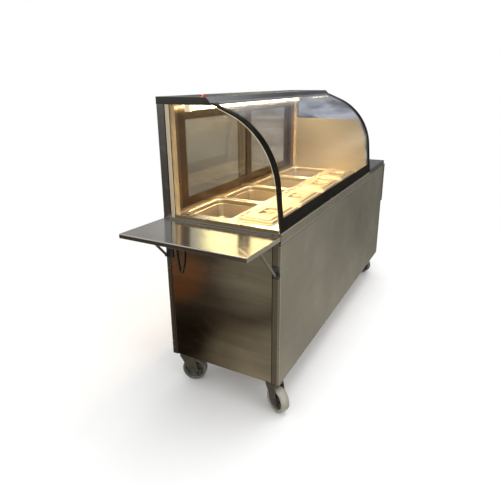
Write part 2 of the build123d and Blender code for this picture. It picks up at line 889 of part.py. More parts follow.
def cabinet_door(label, x0, y0, pull_x):
    """Sliding sheet door: a skin with its edges folded inwards and a recessed pull."""
    x1 = x0 + cabinet_door_length
    y1 = y0 + door_thickness
    with BuildPart() as door:
        block(x0, x1, y0, y1, cabinet_door_low, cabinet_door_high)
        block(
            x0 + sheet,
            x1 - sheet,
            y0,
            y1 - sheet,
            cabinet_door_low + sheet,
            cabinet_door_high - sheet,
            Mode.SUBTRACT,
        )
        pull_z = cabinet_door_high - 190
        # Cup behind the pull, then the pull itself.
        block(pull_x - 22, pull_x + 22, y0 + 1, y1 - sheet, pull_z - 72, pull_z + 72)
        with BuildSketch(Plane(origin=(pull_x, y1, pull_z), x_dir=(0, 0, 1), z_dir=(0, 1, 0))):
            SlotOverall(130, 30)
        extrude(amount=-9, mode=Mode.SUBTRACT)
    save(door.part, label)


# ---------------------------------------------------------------- shelves, hinges and struts
# Hinge-line planes: x runs outwards along the shelf, y runs up off its face.
near_wall = Plane(origin=(near_x - hinge_offset, 0, near_hinge_z), x_dir=(-1, 0, 0), z_dir=(0, 1, 0))
near_hinge = Plane(origin=near_wall.origin, x_dir=(-cos(tilt), 0, sin(tilt)), z_dir=(0, 1, 0))
far_wall = Plane(origin=(far_x + hinge_offset, 0, hinge_z), x_dir=(1, 0, 0), z_dir=(0, -1, 0))
far_folded = Plane(origin=far_wall.origin, x_dir=(0, 0, -1), z_dir=(0, -1, 0))


def section_box(plane, u0, u1, w0, w1, length, mode=Mode.ADD):
    """Add or cut a bar whose section is u0-u1 outwards by w0-w1 upwards from the hinge line."""
    with BuildSketch(plane) as section:
        with Locations(((u0 + u1) / 2, (w0 + w1) / 2)):
            Rectangle(u1 - u0, w1 - w0)
    extrude(section.sketch, amount=length, mode=mode)


def end_shelf(label, hinge):
    """Folded tray shelf with two cross channels, hinge knuckles and strut stops under it."""
    inner = shelf_gap - hinge_offset
    outer = inner + shelf_reach
    under = hinge_below_shelf
    top = under + shelf_thickness
    skin = shelf_skin
    channel_length = body_depth - 12
    with BuildPart() as tray:
        section_box(hinge.offset(-side_y), inner, outer, under, top, body_depth)
        fillet(tray.edges().filter_by(Axis.Y).group_by(Axis(hinge.origin, hinge.x_dir))[-1], radius=4)
        section_box(
            hinge.offset(-side_y + skin),
            inner + skin,
            outer - skin,
            under,
            top - skin,
            body_depth - 2 * skin,
            Mode.SUBTRACT,
        )
        start = hinge.offset(-channel_length / 2)
        for u0, u1 in ((inner + skin, 27), (138, 184)):
            section_box(start, u0, u1, under, under + skin, channel_length)
            section_box(start, u1 - skin, u1, under, top - skin, channel_length)
            section_box(start, u0, u0 + skin, under, top - skin, channel_length)
        for side in (-1, 1):
            stop = hinge.offset(side * strut_y - 10)
            with BuildSketch(stop):
                with Locations((strut_stop_out, under - strut_stop_radius + 0.25)):
                    Circle(strut_stop_radius)
            extrude(amount=20)
        for centre in hinge_centres:
            for y0 in (centre - 33, centre + 15):
                lug = hinge.offset(y0)
                with BuildSketch(lug):
                    Circle(hinge_knuckle_radius)
                    with Locations((0, under / 2)):
                        Rectangle(2 * hinge_knuckle_radius, under)
                    Circle(hinge_pin_radius + running_clearance, mode=Mode.SUBTRACT)
                extrude(amount=18)
    save(tray.part, label)


def hinge_leaves():
    """Fixed hinge leaves on both end rails, each with its centre knuckle and pin."""
    leaf_back = -hinge_offset
    leaf_face = leaf_back + hinge_leaf_thickness
    half = hinge_leaf_half_height
    with BuildPart() as leaves:
        for hinge in (near_wall, far_wall):
            for centre in hinge_centres:
                section_box(hinge.offset(centre - 35), leaf_back, leaf_face, -half, half, 70)
                section_box(hinge.offset(centre - 14), leaf_face, 0, -hinge_knuckle_radius, 0, 28)
                with BuildSketch(hinge.offset(centre - 14)):
                    Circle(hinge_knuckle_radius)
                extrude(amount=28)
                with BuildSketch(hinge.offset(centre - 36)):
                    Circle(hinge_pin_radius)
                extrude(amount=72)
    save(leaves.part, "hinge_leaves")


def strut_plane(hinge, side, angle):
    """Plane at a strut pivot; its x axis runs along the strut, at an angle above the shelf's own line."""
    pivot = hinge.origin + hinge.x_dir * strut_pivot_out + hinge.y_dir * strut_pivot_up
    along = hinge.x_dir * cos(radians(angle)) + hinge.y_dir * sin(radians(angle))
    return Plane(origin=pivot + Vector(0, side * strut_y, 0), x_dir=along, z_dir=hinge.z_dir)


def strut_brackets():
    """Black clevis brackets on the end posts, each holding a strut between two ears with a pin."""
    inner_face = strut_thickness / 2 + 1
    with BuildPart() as brackets:
        for end, outward, hinge in ((near_x, -1, near_hinge), (far_x, 1, far_wall)):
            for side in (-1, 1):
                pivot = strut_plane(hinge, side, 0).origin
                reach = abs(pivot.X - end)
                foot_x = sorted((end, end + outward * bracket_foot))
                foot_y = sorted((side * (strut_y + 6), side * (strut_y - 26)))
                foot_z = pivot.Z - 15
                block(*foot_x, *foot_y, foot_z, foot_z + bracket_foot_height)
                level = Plane(origin=pivot, x_dir=(outward, 0, 0), z_dir=hinge.z_dir)
                for face in (inner_face, -inner_face - bracket_ear):
                    with BuildSketch(level.offset(face)):
                        Circle(8)
                        with Locations((-reach / 2, 0)):
                            Rectangle(reach, 16)
                        with Locations((4 - reach, 14)):
                            Rectangle(4, 20)
                    extrude(amount=bracket_ear)
                with BuildSketch(level.offset(-inner_face - bracket_ear)):
                    Circle(strut_pin_radius)
                extrude(amount=2 * (inner_face + bracket_ear))
    save(brackets.part, "strut_brackets")


def shelf_struts(label, hinge, angle):
    """Flat prop struts of one end shelf, one each side, drilled for their bracket pins."""
    with BuildPart() as struts:
        for side in (-1, 1):
            plane = strut_plane(hinge, side, angle)
            with BuildSketch(plane):
                with Locations((strut_length / 2, 0)):
                    SlotOverall(strut_length + strut_width, strut_width)
                Circle(strut_pin_radius + running_clearance, mode=Mode.SUBTRACT)
            extrude(amount=strut_thickness / 2, both=True)
    save(struts.part, label)


# ---------------------------------------------------------------- castors
# Name, swivel axis x and y, and the direction each wheel trails in, in degrees from +X.
castors = (
    ("near_customer", near_x + castor_inset, castor_rows[0], 243),
    ("near_server", near_x + castor_inset, castor_rows[1], 290),
    ("far_customer", far_x - castor_inset, castor_rows[0], 80),
    ("far_server", far_x - castor_inset, castor_rows[1], 115),
)


def castor_plates():
    """Top plates of the four castors, bored for the kingpins and drilled for bolts."""
    with BuildPart() as plates:
        with BuildSketch(Plane.XY.offset(castor_plate_z)):
            for _, x, y, _ in castors:
                with Locations((x, y)):
                    RectangleRounded(castor_plate_length, castor_plate_width, 8)
                    Circle(kingpin_radius + running_clearance, mode=Mode.SUBTRACT)
                    with GridLocations(2 * castor_bolt_x, 2 * castor_bolt_y, 2, 2):
                        Circle(castor_bolt_radius, mode=Mode.SUBTRACT)
        extrude(amount=castor_plate_thickness)
    save(plates.part, "castor_plates")


def castor_bolts():
    """Hexagon bolts holding the castor plates to the frame."""
    head = 5.5
    with BuildPart() as bolts:
        for _, x, y, _ in castors:
            with BuildSketch(Plane.XY.offset(castor_plate_z - head)):
                with Locations((x, y)):
                    with GridLocations(2 * castor_bolt_x, 2 * castor_bolt_y, 2, 2):
                        RegularPolygon(7.5, 6)
            extrude(amount=head)
            with BuildSketch(Plane.XY.offset(castor_plate_z - head)):
                with Locations((x, y)):
                    with GridLocations(2 * castor_bolt_x, 2 * castor_bolt_y, 2, 2):
                        Circle(castor_bolt_radius)
            extrude(amount=head + castor_plate_thickness + plate)
    save(bolts.part, "castor_bolts")


def castor_side(x, y, azimuth):
    """Upright plane through a castor's swivel axis; its x axis points along the trail, at floor level."""
    c = cos(radians(azimuth))
    s = sin(radians(azimuth))
    return Plane(origin=(x, y, 0), x_dir=(c, s, 0), z_dir=(s, -c, 0))


def castor_fork(label, x, y, azimuth):
    """Swivel fork: kingpin, round head, two broad tapering cheeks and the axle with its nuts."""
    side = castor_side(x, y, azimuth)
    head_top = castor_plate_z - 0.5
    crown_top = 152
    crown_low = 142
    leg_outer = wheel_width / 2 + 6
    leg_inner = wheel_width / 2 + 3
    with BuildPart() as fork:
        round_bar(Plane(origin=(x, y, crown_top)), 30, head_top - crown_top)
        round_bar(Plane(origin=(x, y, head_top)), kingpin_radius, castor_plate_thickness - 0.5)
        with BuildSketch(side):
            with Locations((castor_trail, wheel_radius)):
                Circle(22)
            with Locations((5, crown_top - 4)):
                Rectangle(74, 8)
            make_hull()
        extrude(amount=leg_outer, both=True)
        with BuildSketch(side):
            with Locations((castor_trail, crown_low - 100)):
                Rectangle(240, 200)
        extrude(amount=leg_inner, both=True, mode=Mode.SUBTRACT)
        axle_plane = Plane(
            origin=side.origin + side.x_dir * castor_trail + Vector(0, 0, wheel_radius),
            x_dir=side.x_dir,
            z_dir=side.z_dir,
        )
        with BuildSketch(axle_plane):
            Circle(axle_radius)
        extrude(amount=leg_outer + 2, both=True)
        for face in (leg_outer, -leg_outer - 6):
            with BuildSketch(axle_plane.offset(face)):
                RegularPolygon(9, 6)
            extrude(amount=6)
    save(fork.part, f"{label}_fork")


def castor_wheel(label, x, y, azimuth):
    """Wheel turned about its axle: hub, thin recessed web, rim and rounded tread."""
    side = castor_side(x, y, azimuth)
    centre = side.origin + side.x_dir * castor_trail + Vector(0, 0, wheel_radius)
    half = wheel_width / 2
    hub_half = half + 2
    # Section plane: x runs out along a radius, y runs along the axle.
    section = Plane(origin=centre, x_dir=side.x_dir, z_dir=side.x_dir.cross(side.z_dir))
    bore = axle_radius + running_clearance
    with BuildPart() as wheel:
        with BuildSketch(section) as profile:
            with BuildLine():
                Polyline(
                    (bore, -hub_half),
                    (16, -hub_half),
                    (18, -6),
                    (43, -4),
                    (46, -half + 3),
                    (wheel_radius - 14, -half),
                    (wheel_radius - 7, -half),
                    (wheel_radius, -half + 8),
                    (wheel_radius, half - 8),
                    (wheel_radius - 7, half),
                    (wheel_radius - 14, half),
                    (46, half - 3),
                    (43, 4),
                    (18, 6),
                    (16, hub_half),
                    (bore, hub_half),
                    close=True,
                )
            make_face()
        revolve(profile.sketch, axis=Axis(centre, side.z_dir), revolution_arc=360)
    save(wheel.part, f"{label}_wheel")


# ---------------------------------------------------------------- pans and lids
def pan(label, x, y, width):
    """Gastronorm pan: a flat rim resting on the counter and a tapered hollow body."""
    rim_z = counter_z + rim_thickness
    body_length_x = pan_length - 2 * pan_rim
    body_width = width - 2 * pan_rim
    with BuildPart() as dish:
        with BuildSketch(Plane.XY.offset(rim_z)):
            with Locations((x, y)):
                RectangleRounded(body_length_x, body_width, 30)
        extrude(amount=-pan_depth, taper=pan_taper)
        fillet(dish.edges().group_by(Axis.Z)[0], radius=10)
        with BuildSketch(Plane.XY.offset(counter_z)):
            with Locations((x, y)):
                RectangleRounded(pan_length, width, 14)
        extrude(amount=rim_thickness)
        with BuildPart(mode=Mode.PRIVATE) as hollow:
            with BuildSketch(Plane.XY.offset(rim_z)):
                with Locations((x, y)):
                    RectangleRounded(body_length_x - 2 * pan_wall, body_width - 2 * pan_wall, 29)
            extrude(amount=-(pan_depth - pan_wall), taper=pan_taper)
            fillet(hollow.edges().group_by(Axis.Z)[0], radius=9)
        add(hollow.part, mode=Mode.SUBTRACT)
    save(dish.part, label)


def lid(label, x, y, width):
    """Pan lid: flat rim, raised step and a dished hand recess crossed by a bar handle."""
    low = counter_z + rim_thickness
    skin = 1.5
    rise = 16
    step = 16
    step_low = low + skin
    top = low + rise
    recess_length = 110
    recess_width = 64
    with BuildPart() as cover:
        with BuildSketch(Plane.XY.offset(low)):
            with Locations((x, y)):
                RectangleRounded(pan_length, width + 2, 14)
        extrude(amount=skin)
        with BuildSketch(Plane.XY.offset(low)):
            with Locations((x, y)):
                RectangleRounded(pan_length - 2 * step, width - 2 * step, 20)
        extrude(amount=rise, taper=25)
        fillet(cover.edges().group_by(Axis.Z)[-1], radius=1.4)
        with BuildSketch(Plane.XY.offset(low)):
            with Locations((x, y)):
                RectangleRounded(pan_length - 2 * step - 2 * skin, width - 2 * step - 2 * skin, 18)
        extrude(amount=rise - skin, taper=25, mode=Mode.SUBTRACT)
        with BuildSketch(Plane.XY.offset(top)):
            with Locations((x, y)):
                RectangleRounded(recess_length + 2 * skin, recess_width + 2 * skin, 14)
        extrude(amount=-(top - step_low) + 1, taper=12)
        with BuildSketch(Plane.XY.offset(top)):
            with Locations((x, y)):
                RectangleRounded(recess_length, recess_width, 13)
        extrude(amount=-(top - step_low) + 1 + skin, taper=12, mode=Mode.SUBTRACT)
        with BuildSketch(Plane(origin=(x, y - recess_width / 2, top - 4), z_dir=(0, 1, 0))):
            Circle(3.5)
        extrude(amount=recess_width)
    save(cover.part, label)


# ---------------------------------------------------------------- build everything
body_frame()
floor_panel()
middle_shelf()
customer_panel()
end_panel("near_end_panel", near_x, 1, holes=((cord_y_out, gland_z, gland_radius),))
end_panel("far_end_panel", far_x, -1)
counter_top()
side_worktop()
water_well()
heating_elements()
drain_valve()
drain_lever()
control_panel()
thermostat_knob()
power_cord()
curved_glass()
glass_border()
end_glass()
case_posts()
canopy()
lamp_switch()
lamp_reflector()
lamp_tube()
splash_panel()
case_door_tracks()
glass_door("left", case_jamb_near, inner_door_y, case_jamb_near + door_stile / 2)
glass_door("right", case_jamb_far - case_door_length, outer_door_y, case_jamb_far - door_stile / 2)
cabinet_door_tracks()
cabinet_door("left_cabinet_door", cabinet_x0 + 2, cabinet_inner_y, cabinet_x0 + 50)
cabinet_door(
    "right_cabinet_door", cabinet_x1 - 2 - cabinet_door_length, cabinet_outer_y, cabinet_x1 - 50
)
end_shelf("near_shelf", near_hinge)
end_shelf("far_shelf", far_folded)
hinge_leaves()
strut_brackets()
shelf_struts("near_struts", near_hinge, strut_raised_angle)
shelf_struts("far_struts", far_wall, -90)
castor_plates()
castor_bolts()
for castor in castors:
    castor_fork(*castor)
    castor_wheel(*castor)
for place in pan_places():
    pan(*place)
    if place[0].startswith("front"):
        lid(place[0].replace("front_pan", "front_lid"), *place[1:])
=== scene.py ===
import json
import math

import bmesh
import bpy
from mathutils import Matrix, Vector


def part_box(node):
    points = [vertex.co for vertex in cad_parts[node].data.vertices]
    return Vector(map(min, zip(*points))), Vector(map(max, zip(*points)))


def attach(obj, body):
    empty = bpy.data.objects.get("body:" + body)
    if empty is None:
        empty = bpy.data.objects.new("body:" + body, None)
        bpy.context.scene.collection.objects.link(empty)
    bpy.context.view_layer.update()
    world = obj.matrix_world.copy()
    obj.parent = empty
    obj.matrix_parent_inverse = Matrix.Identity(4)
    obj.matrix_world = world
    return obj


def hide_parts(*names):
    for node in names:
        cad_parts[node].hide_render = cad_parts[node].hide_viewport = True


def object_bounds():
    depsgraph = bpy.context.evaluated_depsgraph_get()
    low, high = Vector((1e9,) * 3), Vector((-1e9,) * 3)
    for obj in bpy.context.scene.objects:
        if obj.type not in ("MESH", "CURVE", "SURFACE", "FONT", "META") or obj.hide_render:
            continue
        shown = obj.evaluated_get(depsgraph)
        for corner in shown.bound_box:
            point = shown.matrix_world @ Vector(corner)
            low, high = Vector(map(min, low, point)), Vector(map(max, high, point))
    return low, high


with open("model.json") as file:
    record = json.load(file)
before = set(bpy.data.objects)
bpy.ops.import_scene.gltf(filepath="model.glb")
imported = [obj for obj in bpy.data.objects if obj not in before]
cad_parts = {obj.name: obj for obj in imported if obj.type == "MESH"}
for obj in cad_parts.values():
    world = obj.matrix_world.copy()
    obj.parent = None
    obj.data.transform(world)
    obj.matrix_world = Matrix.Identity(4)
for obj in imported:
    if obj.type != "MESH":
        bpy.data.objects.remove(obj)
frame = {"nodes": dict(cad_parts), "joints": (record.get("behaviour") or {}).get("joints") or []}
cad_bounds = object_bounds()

NODES = frame["nodes"]
ROOT = "cabinet_body"
CORNERS = ("near_customer", "near_server", "far_customer", "far_server")


# ---------------------------------------------------------------- node graph helpers
class Graph:
    """Builds one node tree, socket by socket."""

    def __init__(self, owner, output):
        self.owner = owner
        owner.use_nodes = True
        self.tree = owner.node_tree
        self.tree.nodes.clear()
        self.output = self.node(output)

    def node(self, kind, **settings):
        made = self.tree.nodes.new("ShaderNode" + kind)
        for key, value in settings.items():
            setattr(made, key, value)
        return made

    def put(self, socket, value):
        """Set a socket to a value, or join another socket to it."""
        if isinstance(value, bpy.types.NodeSocket):
            self.tree.links.new(value, socket)
        elif isinstance(value, (tuple, list)) and len(value) == 3 and socket.type == "RGBA":
            socket.default_value = (*value, 1.0)
        else:
            socket.default_value = value

    def place(self, scale=(1, 1, 1), offset=(0, 0, 0)):
        """Object coordinates in metres, scaled and shifted."""
        coord = self.node("TexCoord")
        mapping = self.node("Mapping")
        mapping.inputs["Scale"].default_value = scale
        mapping.inputs["Location"].default_value = offset
        self.put(mapping.inputs["Vector"], coord.outputs["Object"])
        return mapping.outputs["Vector"]

    def part(self, vector, index):
        """One of a vector's three numbers."""
        split = self.node("SeparateXYZ")
        self.put(split.inputs[0], vector)
        return split.outputs[index]

    def axis(self, index):
        """One object coordinate, in metres."""
        return self.part(self.node("TexCoord").outputs["Object"], index)

    def noise(self, vector, scale=1.0, detail=4.0, roughness=0.55, distortion=0.0):
        made = self.node("TexNoise")
        made.inputs["Scale"].default_value = scale
        made.inputs["Detail"].default_value = detail
        made.inputs["Roughness"].default_value = roughness
        made.inputs["Distortion"].default_value = distortion
        self.put(made.inputs["Vector"], vector)
        return made.outputs["Fac"]

    def span(self, value, low, high, to_low=0.0, to_high=1.0, smooth=False):
        """A number mapped from one range to another and held at its ends."""
        made = self.node("MapRange")
        if smooth:
            made.interpolation_type = "SMOOTHSTEP"
        made.inputs["From Min"].default_value = low
        made.inputs["From Max"].default_value = high
        made.inputs["To Min"].default_value = to_low
        made.inputs["To Max"].default_value = to_high
        self.put(made.inputs["Value"], value)
        return made.outputs["Result"]

    def band(self, value, start, end, fade):
        """1 between start and end, 0 outside, with a short fade at each side."""
        rise = self.span(value, start, start + fade)
        return self.sum("MULTIPLY", rise, self.span(value, end, end - fade))

    def sum(self, operation, a, b):
        made = self.node("Math", operation=operation)
        self.put(made.inputs[0], a)
        self.put(made.inputs[1], b)
        return made.outputs[0]

    def dot(self, a, b):
        made = self.node("VectorMath", operation="DOT_PRODUCT")
        self.put(made.inputs[0], a)
        self.put(made.inputs[1], b)
        return made.outputs["Value"]

    def scaled(self, vector, factor):
        made = self.node("VectorMath", operation="SCALE")
        self.put(made.inputs[0], vector)
        self.put(made.inputs["Scale"], factor)
        return made.outputs[0]

    def mix(self, factor, a, b):
        """Colour between a and b."""
        made = self.node("Mix", data_type="RGBA")
        self.put(made.inputs["Factor"], factor)
        self.put(made.inputs[6], a)
        self.put(made.inputs[7], b)
        return made.outputs[2]

    def mix_shaders(self, factor, a, b):
        made = self.node("MixShader")
        self.put(made.inputs[0], factor)
        self.put(made.inputs[1], a.outputs[0])
        self.put(made.inputs[2], b.outputs[0])
        return made

    def ramp(self, factor, stops):
        made = self.node("ValToRGB")
        ramp = made.color_ramp
        while len(ramp.elements) < len(stops):
            ramp.elements.new(0.5)
        for element, (position, colour) in zip(ramp.elements, stops):
            element.position = position
            element.color = (*colour, 1.0)
        self.put(made.inputs["Fac"], factor)
        return made.outputs["Color"]

    def soft_normal(self, radius):
        """Surface normal rounded over every edge, as a pressed or ground edge is."""
        made = self.node("Bevel")
        made.samples = 4
        made.inputs["Radius"].default_value = radius
        return made.outputs["Normal"]

    def edge_mask(self, normal):
        """1 on edges, 0 on flats: how far the rounded normal leans from the true one."""
        return self.span(self.dot(normal, self.node("NewGeometry").outputs["Normal"]), 0.995, 0.88)

    def bump(self, height, strength, distance, normal=None):
        made = self.node("Bump")
        made.inputs["Strength"].default_value = strength
        made.inputs["Distance"].default_value = distance
        self.put(made.inputs["Height"], height)
        if normal is not None:
            self.put(made.inputs["Normal"], normal)
        return made.outputs["Normal"]

    def shader(self, kind, **values):
        made = self.node(kind)
        for key, value in values.items():
            self.put(made.inputs[key.replace("_", " ")], value)
        return made

    def principled(self, **values):
        return self.shader("BsdfPrincipled", **values)

    def finish(self, shader):
        self.put(self.output.inputs["Surface"], shader.outputs[0])
        return self.owner


def material_graph(name):
    return Graph(bpy.data.materials.new(name), "OutputMaterial")


# ---------------------------------------------------------------- kinds of material
GRAIN_PER_METRE = 240.0
HAIR_PER_METRE = 80.0
STREAKS_PER_METRE = 26.0
BANDS_PER_METRE = 13.0
SEAM_FADE = 0.0004
CHANNEL_SEAM_TONE = (0.03, 0.028, 0.025)
CHANNEL_LIT_TONE = (0.52, 0.43, 0.29)


def along_grain(grain, across, along):
    """Noise scale that is fine across the grain and long along it."""
    scale = [across, across, across]
    scale[grain] = along
    return scale


def brushed_steel(
    name,
    light,
    dark,
    grain=0,
    roughness=0.30,
    clouds=2.5,
    tint=None,
    tint_and_reflection_amount=0.35,
    edge_highlight=0.35,
    aniso=0.5,
    streak_share=0.25,
    strip=None,
    rounded=False,
    reflection_bands=0.0,
    seams=(),
    pressed=0.0,
):
    """Brushed stainless steel: long grain along one axis, cloudy tone, wiped smears and painted highlights on
    its edges.

    A rounded piece has its edges in its own mesh and gets no shaded ones and no painted edge highlights. A
    pressed
    piece gets a painted highlight along its ridges and painted shade in its grooves. Bands are painted
    reflections:
    broad dark bars along the grain. Tint patches stand partly for painted reflections of the room. Seams are
    shadowed joints or painted highlights on folds: axis, start, end and tone.
    """
    g = material_graph(name)
    fine = g.noise(g.place(along_grain(grain, GRAIN_PER_METRE, 3.0)), 1.0, 2.0, 0.5)
    streaks = g.noise(g.place(along_grain(grain, STREAKS_PER_METRE, 0.9), (3, 7, 1)), 1.0, 4.0, 0.6)
    cloud = g.noise(g.place((1, 1, 1), (5, 2, 8)), clouds, 4.0, 0.55, 0.6)
    smears = g.noise(g.place((1.0, 1.0, 2.2), (1, 4, 2)), 9.0, 5.0, 0.6, 1.2)
    cloud_share = g.sum("MULTIPLY", cloud, 1.0 - streak_share)
    tone = g.sum("ADD", cloud_share, g.sum("MULTIPLY", streaks, streak_share))
    colour = g.mix(g.span(tone, 0.30, 0.70), dark, light)
    hair = g.noise(g.place(along_grain(grain, HAIR_PER_METRE, 1.6), (2, 9, 4)), 1.0, 2.0, 0.5)
    colour = g.mix(g.span(hair, 0.3, 0.7, 0.0, 0.08), colour, tuple(c * 0.5 for c in dark))
    if tint is not None:
        # Patches of the tint: partly random tone, partly painted reflections of the room.
        patch = g.noise(g.place((1.3, 1.3, 0.8), (9, 3, 5)), 2.2, 3.0, 0.5, 0.4)
        colour = g.mix(g.span(patch, 0.46, 0.64, 0.0, tint_and_reflection_amount), colour, tint)
    if reflection_bands > 0.0:
        # Painted reflection: broad dark bars along the grain.
        band = g.noise(g.place(along_grain(grain, BANDS_PER_METRE, 1.1), (6, 1, 3)), 1.0, 2.0, 0.5, 0.3)
        colour = g.mix(g.span(band, 0.44, 0.66, 0.0, reflection_bands), colour, tuple(c * 0.35 for c in dark))
    for axis, start, end, line_tone in seams:
        colour = g.mix(g.band(g.axis(axis), start, end, SEAM_FADE), colour, line_tone)
    normal = None
    if pressed > 0.0:
        # Painted highlight along convex ridges and painted shade in concave grooves.
        convex = g.node("NewGeometry").outputs["Pointiness"]
        ridge_highlight_tone = tuple(min(1.0, c * 1.25 + 0.06) for c in light)
        colour = g.mix(g.span(convex, 0.505, 0.55, 0.0, pressed), colour, ridge_highlight_tone)
        colour = g.mix(g.span(convex, 0.495, 0.45, 0.0, pressed), colour, tuple(c * 0.35 for c in dark))
    if not rounded:
        normal = g.soft_normal(0.0012)
        # Painted highlight: every edge is lightened by how far the rounded normal leans.
        bright = tuple(min(1.0, c * 1.5 + 0.12) for c in light)
        colour = g.mix(g.sum("MULTIPLY", g.edge_mask(normal), edge_highlight), colour, bright)
    hair_rough = g.span(hair, 0.25, 0.75, roughness - 0.01, roughness + 0.015)
    rough = g.sum("ADD", hair_rough, g.span(smears, 0.5, 0.72, 0.0, 0.06))
    tangent = g.node("VectorTransform", vector_type="VECTOR", convert_from="OBJECT", convert_to="WORLD")
    tangent.inputs[0].default_value = along_grain(grain, 0.02, 1.0)
    metallic = 1.0
    if strip is not None:
        # A lit inner channel along the edge nearest the customer, with a dark seam beside it.
        edge_y, width = strip
        y = g.axis(1)
        seam = g.band(y, edge_y + width, edge_y + width + 0.005, 0.001)
        lit = g.span(y, edge_y + width, edge_y + width - 0.002)
        colour = g.mix(seam, colour, CHANNEL_SEAM_TONE)
        colour = g.mix(lit, colour, CHANNEL_LIT_TONE)
        metallic = g.span(lit, 0.0, 1.0, 1.0, 0.15)
    steel = g.principled(Base_Color=colour, Metallic=metallic, Roughness=rough, Anisotropic=aniso)
    g.put(steel.inputs["Tangent"], tangent.outputs[0])
    g.put(steel.inputs["Normal"], g.bump(fine, 0.015, 0.0001, normal))
    return g.finish(steel)


def moulded(name, light, dark, roughness=0.35, grain=900.0, bump=0.15, coat=0.0, dust=0.08, shine=0.5):
    """Moulded plastic, rubber or paint: fine pebbled grain, faint dust in patches and edges lighter from wear
    and painted highlight.
    """
    g = material_graph(name)
    pebble = g.noise(g.place(), grain, 3.0, 0.5)
    patches = g.noise(g.place((1, 1, 1), (2, 6, 4)), 14.0, 5.0, 0.6, 0.5)
    colour = g.mix(g.span(patches, 0.38, 0.66), dark, light)
    normal = g.soft_normal(0.0010)
    # Lighter along every edge: partly wear, partly painted highlight.
    lit_and_worn_edge = tuple(min(1.0, c * 1.6 + 0.04) for c in light)
    colour = g.mix(g.sum("MULTIPLY", g.edge_mask(normal), 0.5), colour, lit_and_worn_edge)
    colour = g.mix(g.span(patches, 0.55, 0.75, 0.0, dust), colour, (0.42, 0.40, 0.36))
    rough = g.span(pebble, 0.3, 0.7, roughness - 0.06, roughness + 0.10)
    body = g.principled(Base_Color=colour, Roughness=rough, Coat_Weight=coat, Coat_Roughness=0.12)
    body.inputs["Specular IOR Level"].default_value = shine
    if shine < 0.2:
        body.inputs["IOR"].default_value = 1.06
    g.put(body.inputs["Normal"], g.bump(pebble, bump, 0.0003, normal))
    return g.finish(body)


# How much of its reflection and of its film a pane keeps where a printed border lies behind it.
BORDER_MIRROR = 0.18
BORDER_FILM = 0.15


def clear_glass(name, tint, veil, haze, rim="none", rim_colour=(0, 0, 0), reflect=1.0, bordered=None):
    """Toughened pane: clear with a thin veil of wiped smears and sharp reflections; its rim can differ.

    A bordered pane reflects little where its printed border lies behind it. The border is given by the pane's
    node, its width at the sides and the height of its foot.
    """
    g = material_graph(name)
    wipes = g.noise(g.place((1.0, 2.5, 0.7), (4, 1, 3)), 6.0, 5.0, 0.62, 1.5)
    specks = g.noise(g.place((1, 1, 1), (7, 7, 2)), 160.0, 2.0, 0.5)
    film = g.sum("ADD", g.span(wipes, 0.45, 0.75, veil * 0.4, veil), g.span(specks, 0.68, 0.8, 0.0, haze))
    facing = g.node("LayerWeight")
    facing.inputs["Blend"].default_value = 0.5
    grazing = g.sum("POWER", facing.outputs["Facing"], 5.0)
    mirror = g.sum("ADD", g.sum("MULTIPLY", grazing, 0.96 * reflect), 0.04 * reflect)
    if bordered is not None:
        node, side, foot = bordered
        low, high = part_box(node)
        inside = g.band(g.axis(0), low.x + side, high.x - side, 0.001)
        inside = g.sum("MULTIPLY", inside, g.span(g.axis(2), low.z + foot, low.z + foot + 0.001))
        mirror = g.sum("MULTIPLY", mirror, g.span(inside, 0.0, 1.0, BORDER_MIRROR, 1.0))
        film = g.sum("MULTIPLY", film, g.span(inside, 0.0, 1.0, BORDER_FILM, 1.0))
    clear = g.shader("BsdfTransparent", Color=tint)
    body = g.mix_shaders(film, clear, g.shader("BsdfDiffuse", Color=(0.62, 0.60, 0.55)))
    polish = g.span(wipes, 0.3, 0.7, 0.015, 0.06)
    face = g.mix_shaders(mirror, body, g.shader("BsdfGlossy", Color=(1.0, 1.0, 1.0), Roughness=polish))
    if rim == "none":
        return g.finish(face)
    # The rim is every narrow face: those square to the length ("ends") or those along it ("around").
    turn = g.node("VectorTransform", vector_type="NORMAL", convert_from="WORLD", convert_to="OBJECT")
    g.put(turn.inputs[0], g.node("NewGeometry").outputs["True Normal"])
    lengthwise = g.sum("ABSOLUTE", g.part(turn.outputs[0], 0), 0.0)
    on_rim = g.span(lengthwise, 0.9, 0.95) if rim == "ends" else g.span(lengthwise, 0.5, 0.4)
    edge = g.principled(Base_Color=rim_colour, Roughness=0.22, Coat_Weight=0.6)
    return g.finish(g.mix_shaders(on_rim, face, edge))


def glowing(name, colour, strength):
    """Frosted lamp tube: an even warm glow, a little darker towards its ends."""
    g = material_graph(name)
    low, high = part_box("lamp_tube")
    x = g.axis(0)
    near = g.span(x, low.x, low.x + 0.05, 0.35, 1.0)
    far = g.span(x, high.x - 0.05, high.x, 1.0, 0.35)
    mottled = g.noise(g.place((8, 60, 60)), 1.0, 3.0, 0.5)
    power = g.sum("MULTIPLY", g.sum("MULTIPLY", near, far), g.span(mottled, 0.3, 0.7, 0.94, 1.06))
    return g.finish(g.shader("Emission", Color=colour, Strength=g.sum("MULTIPLY", power, strength)))


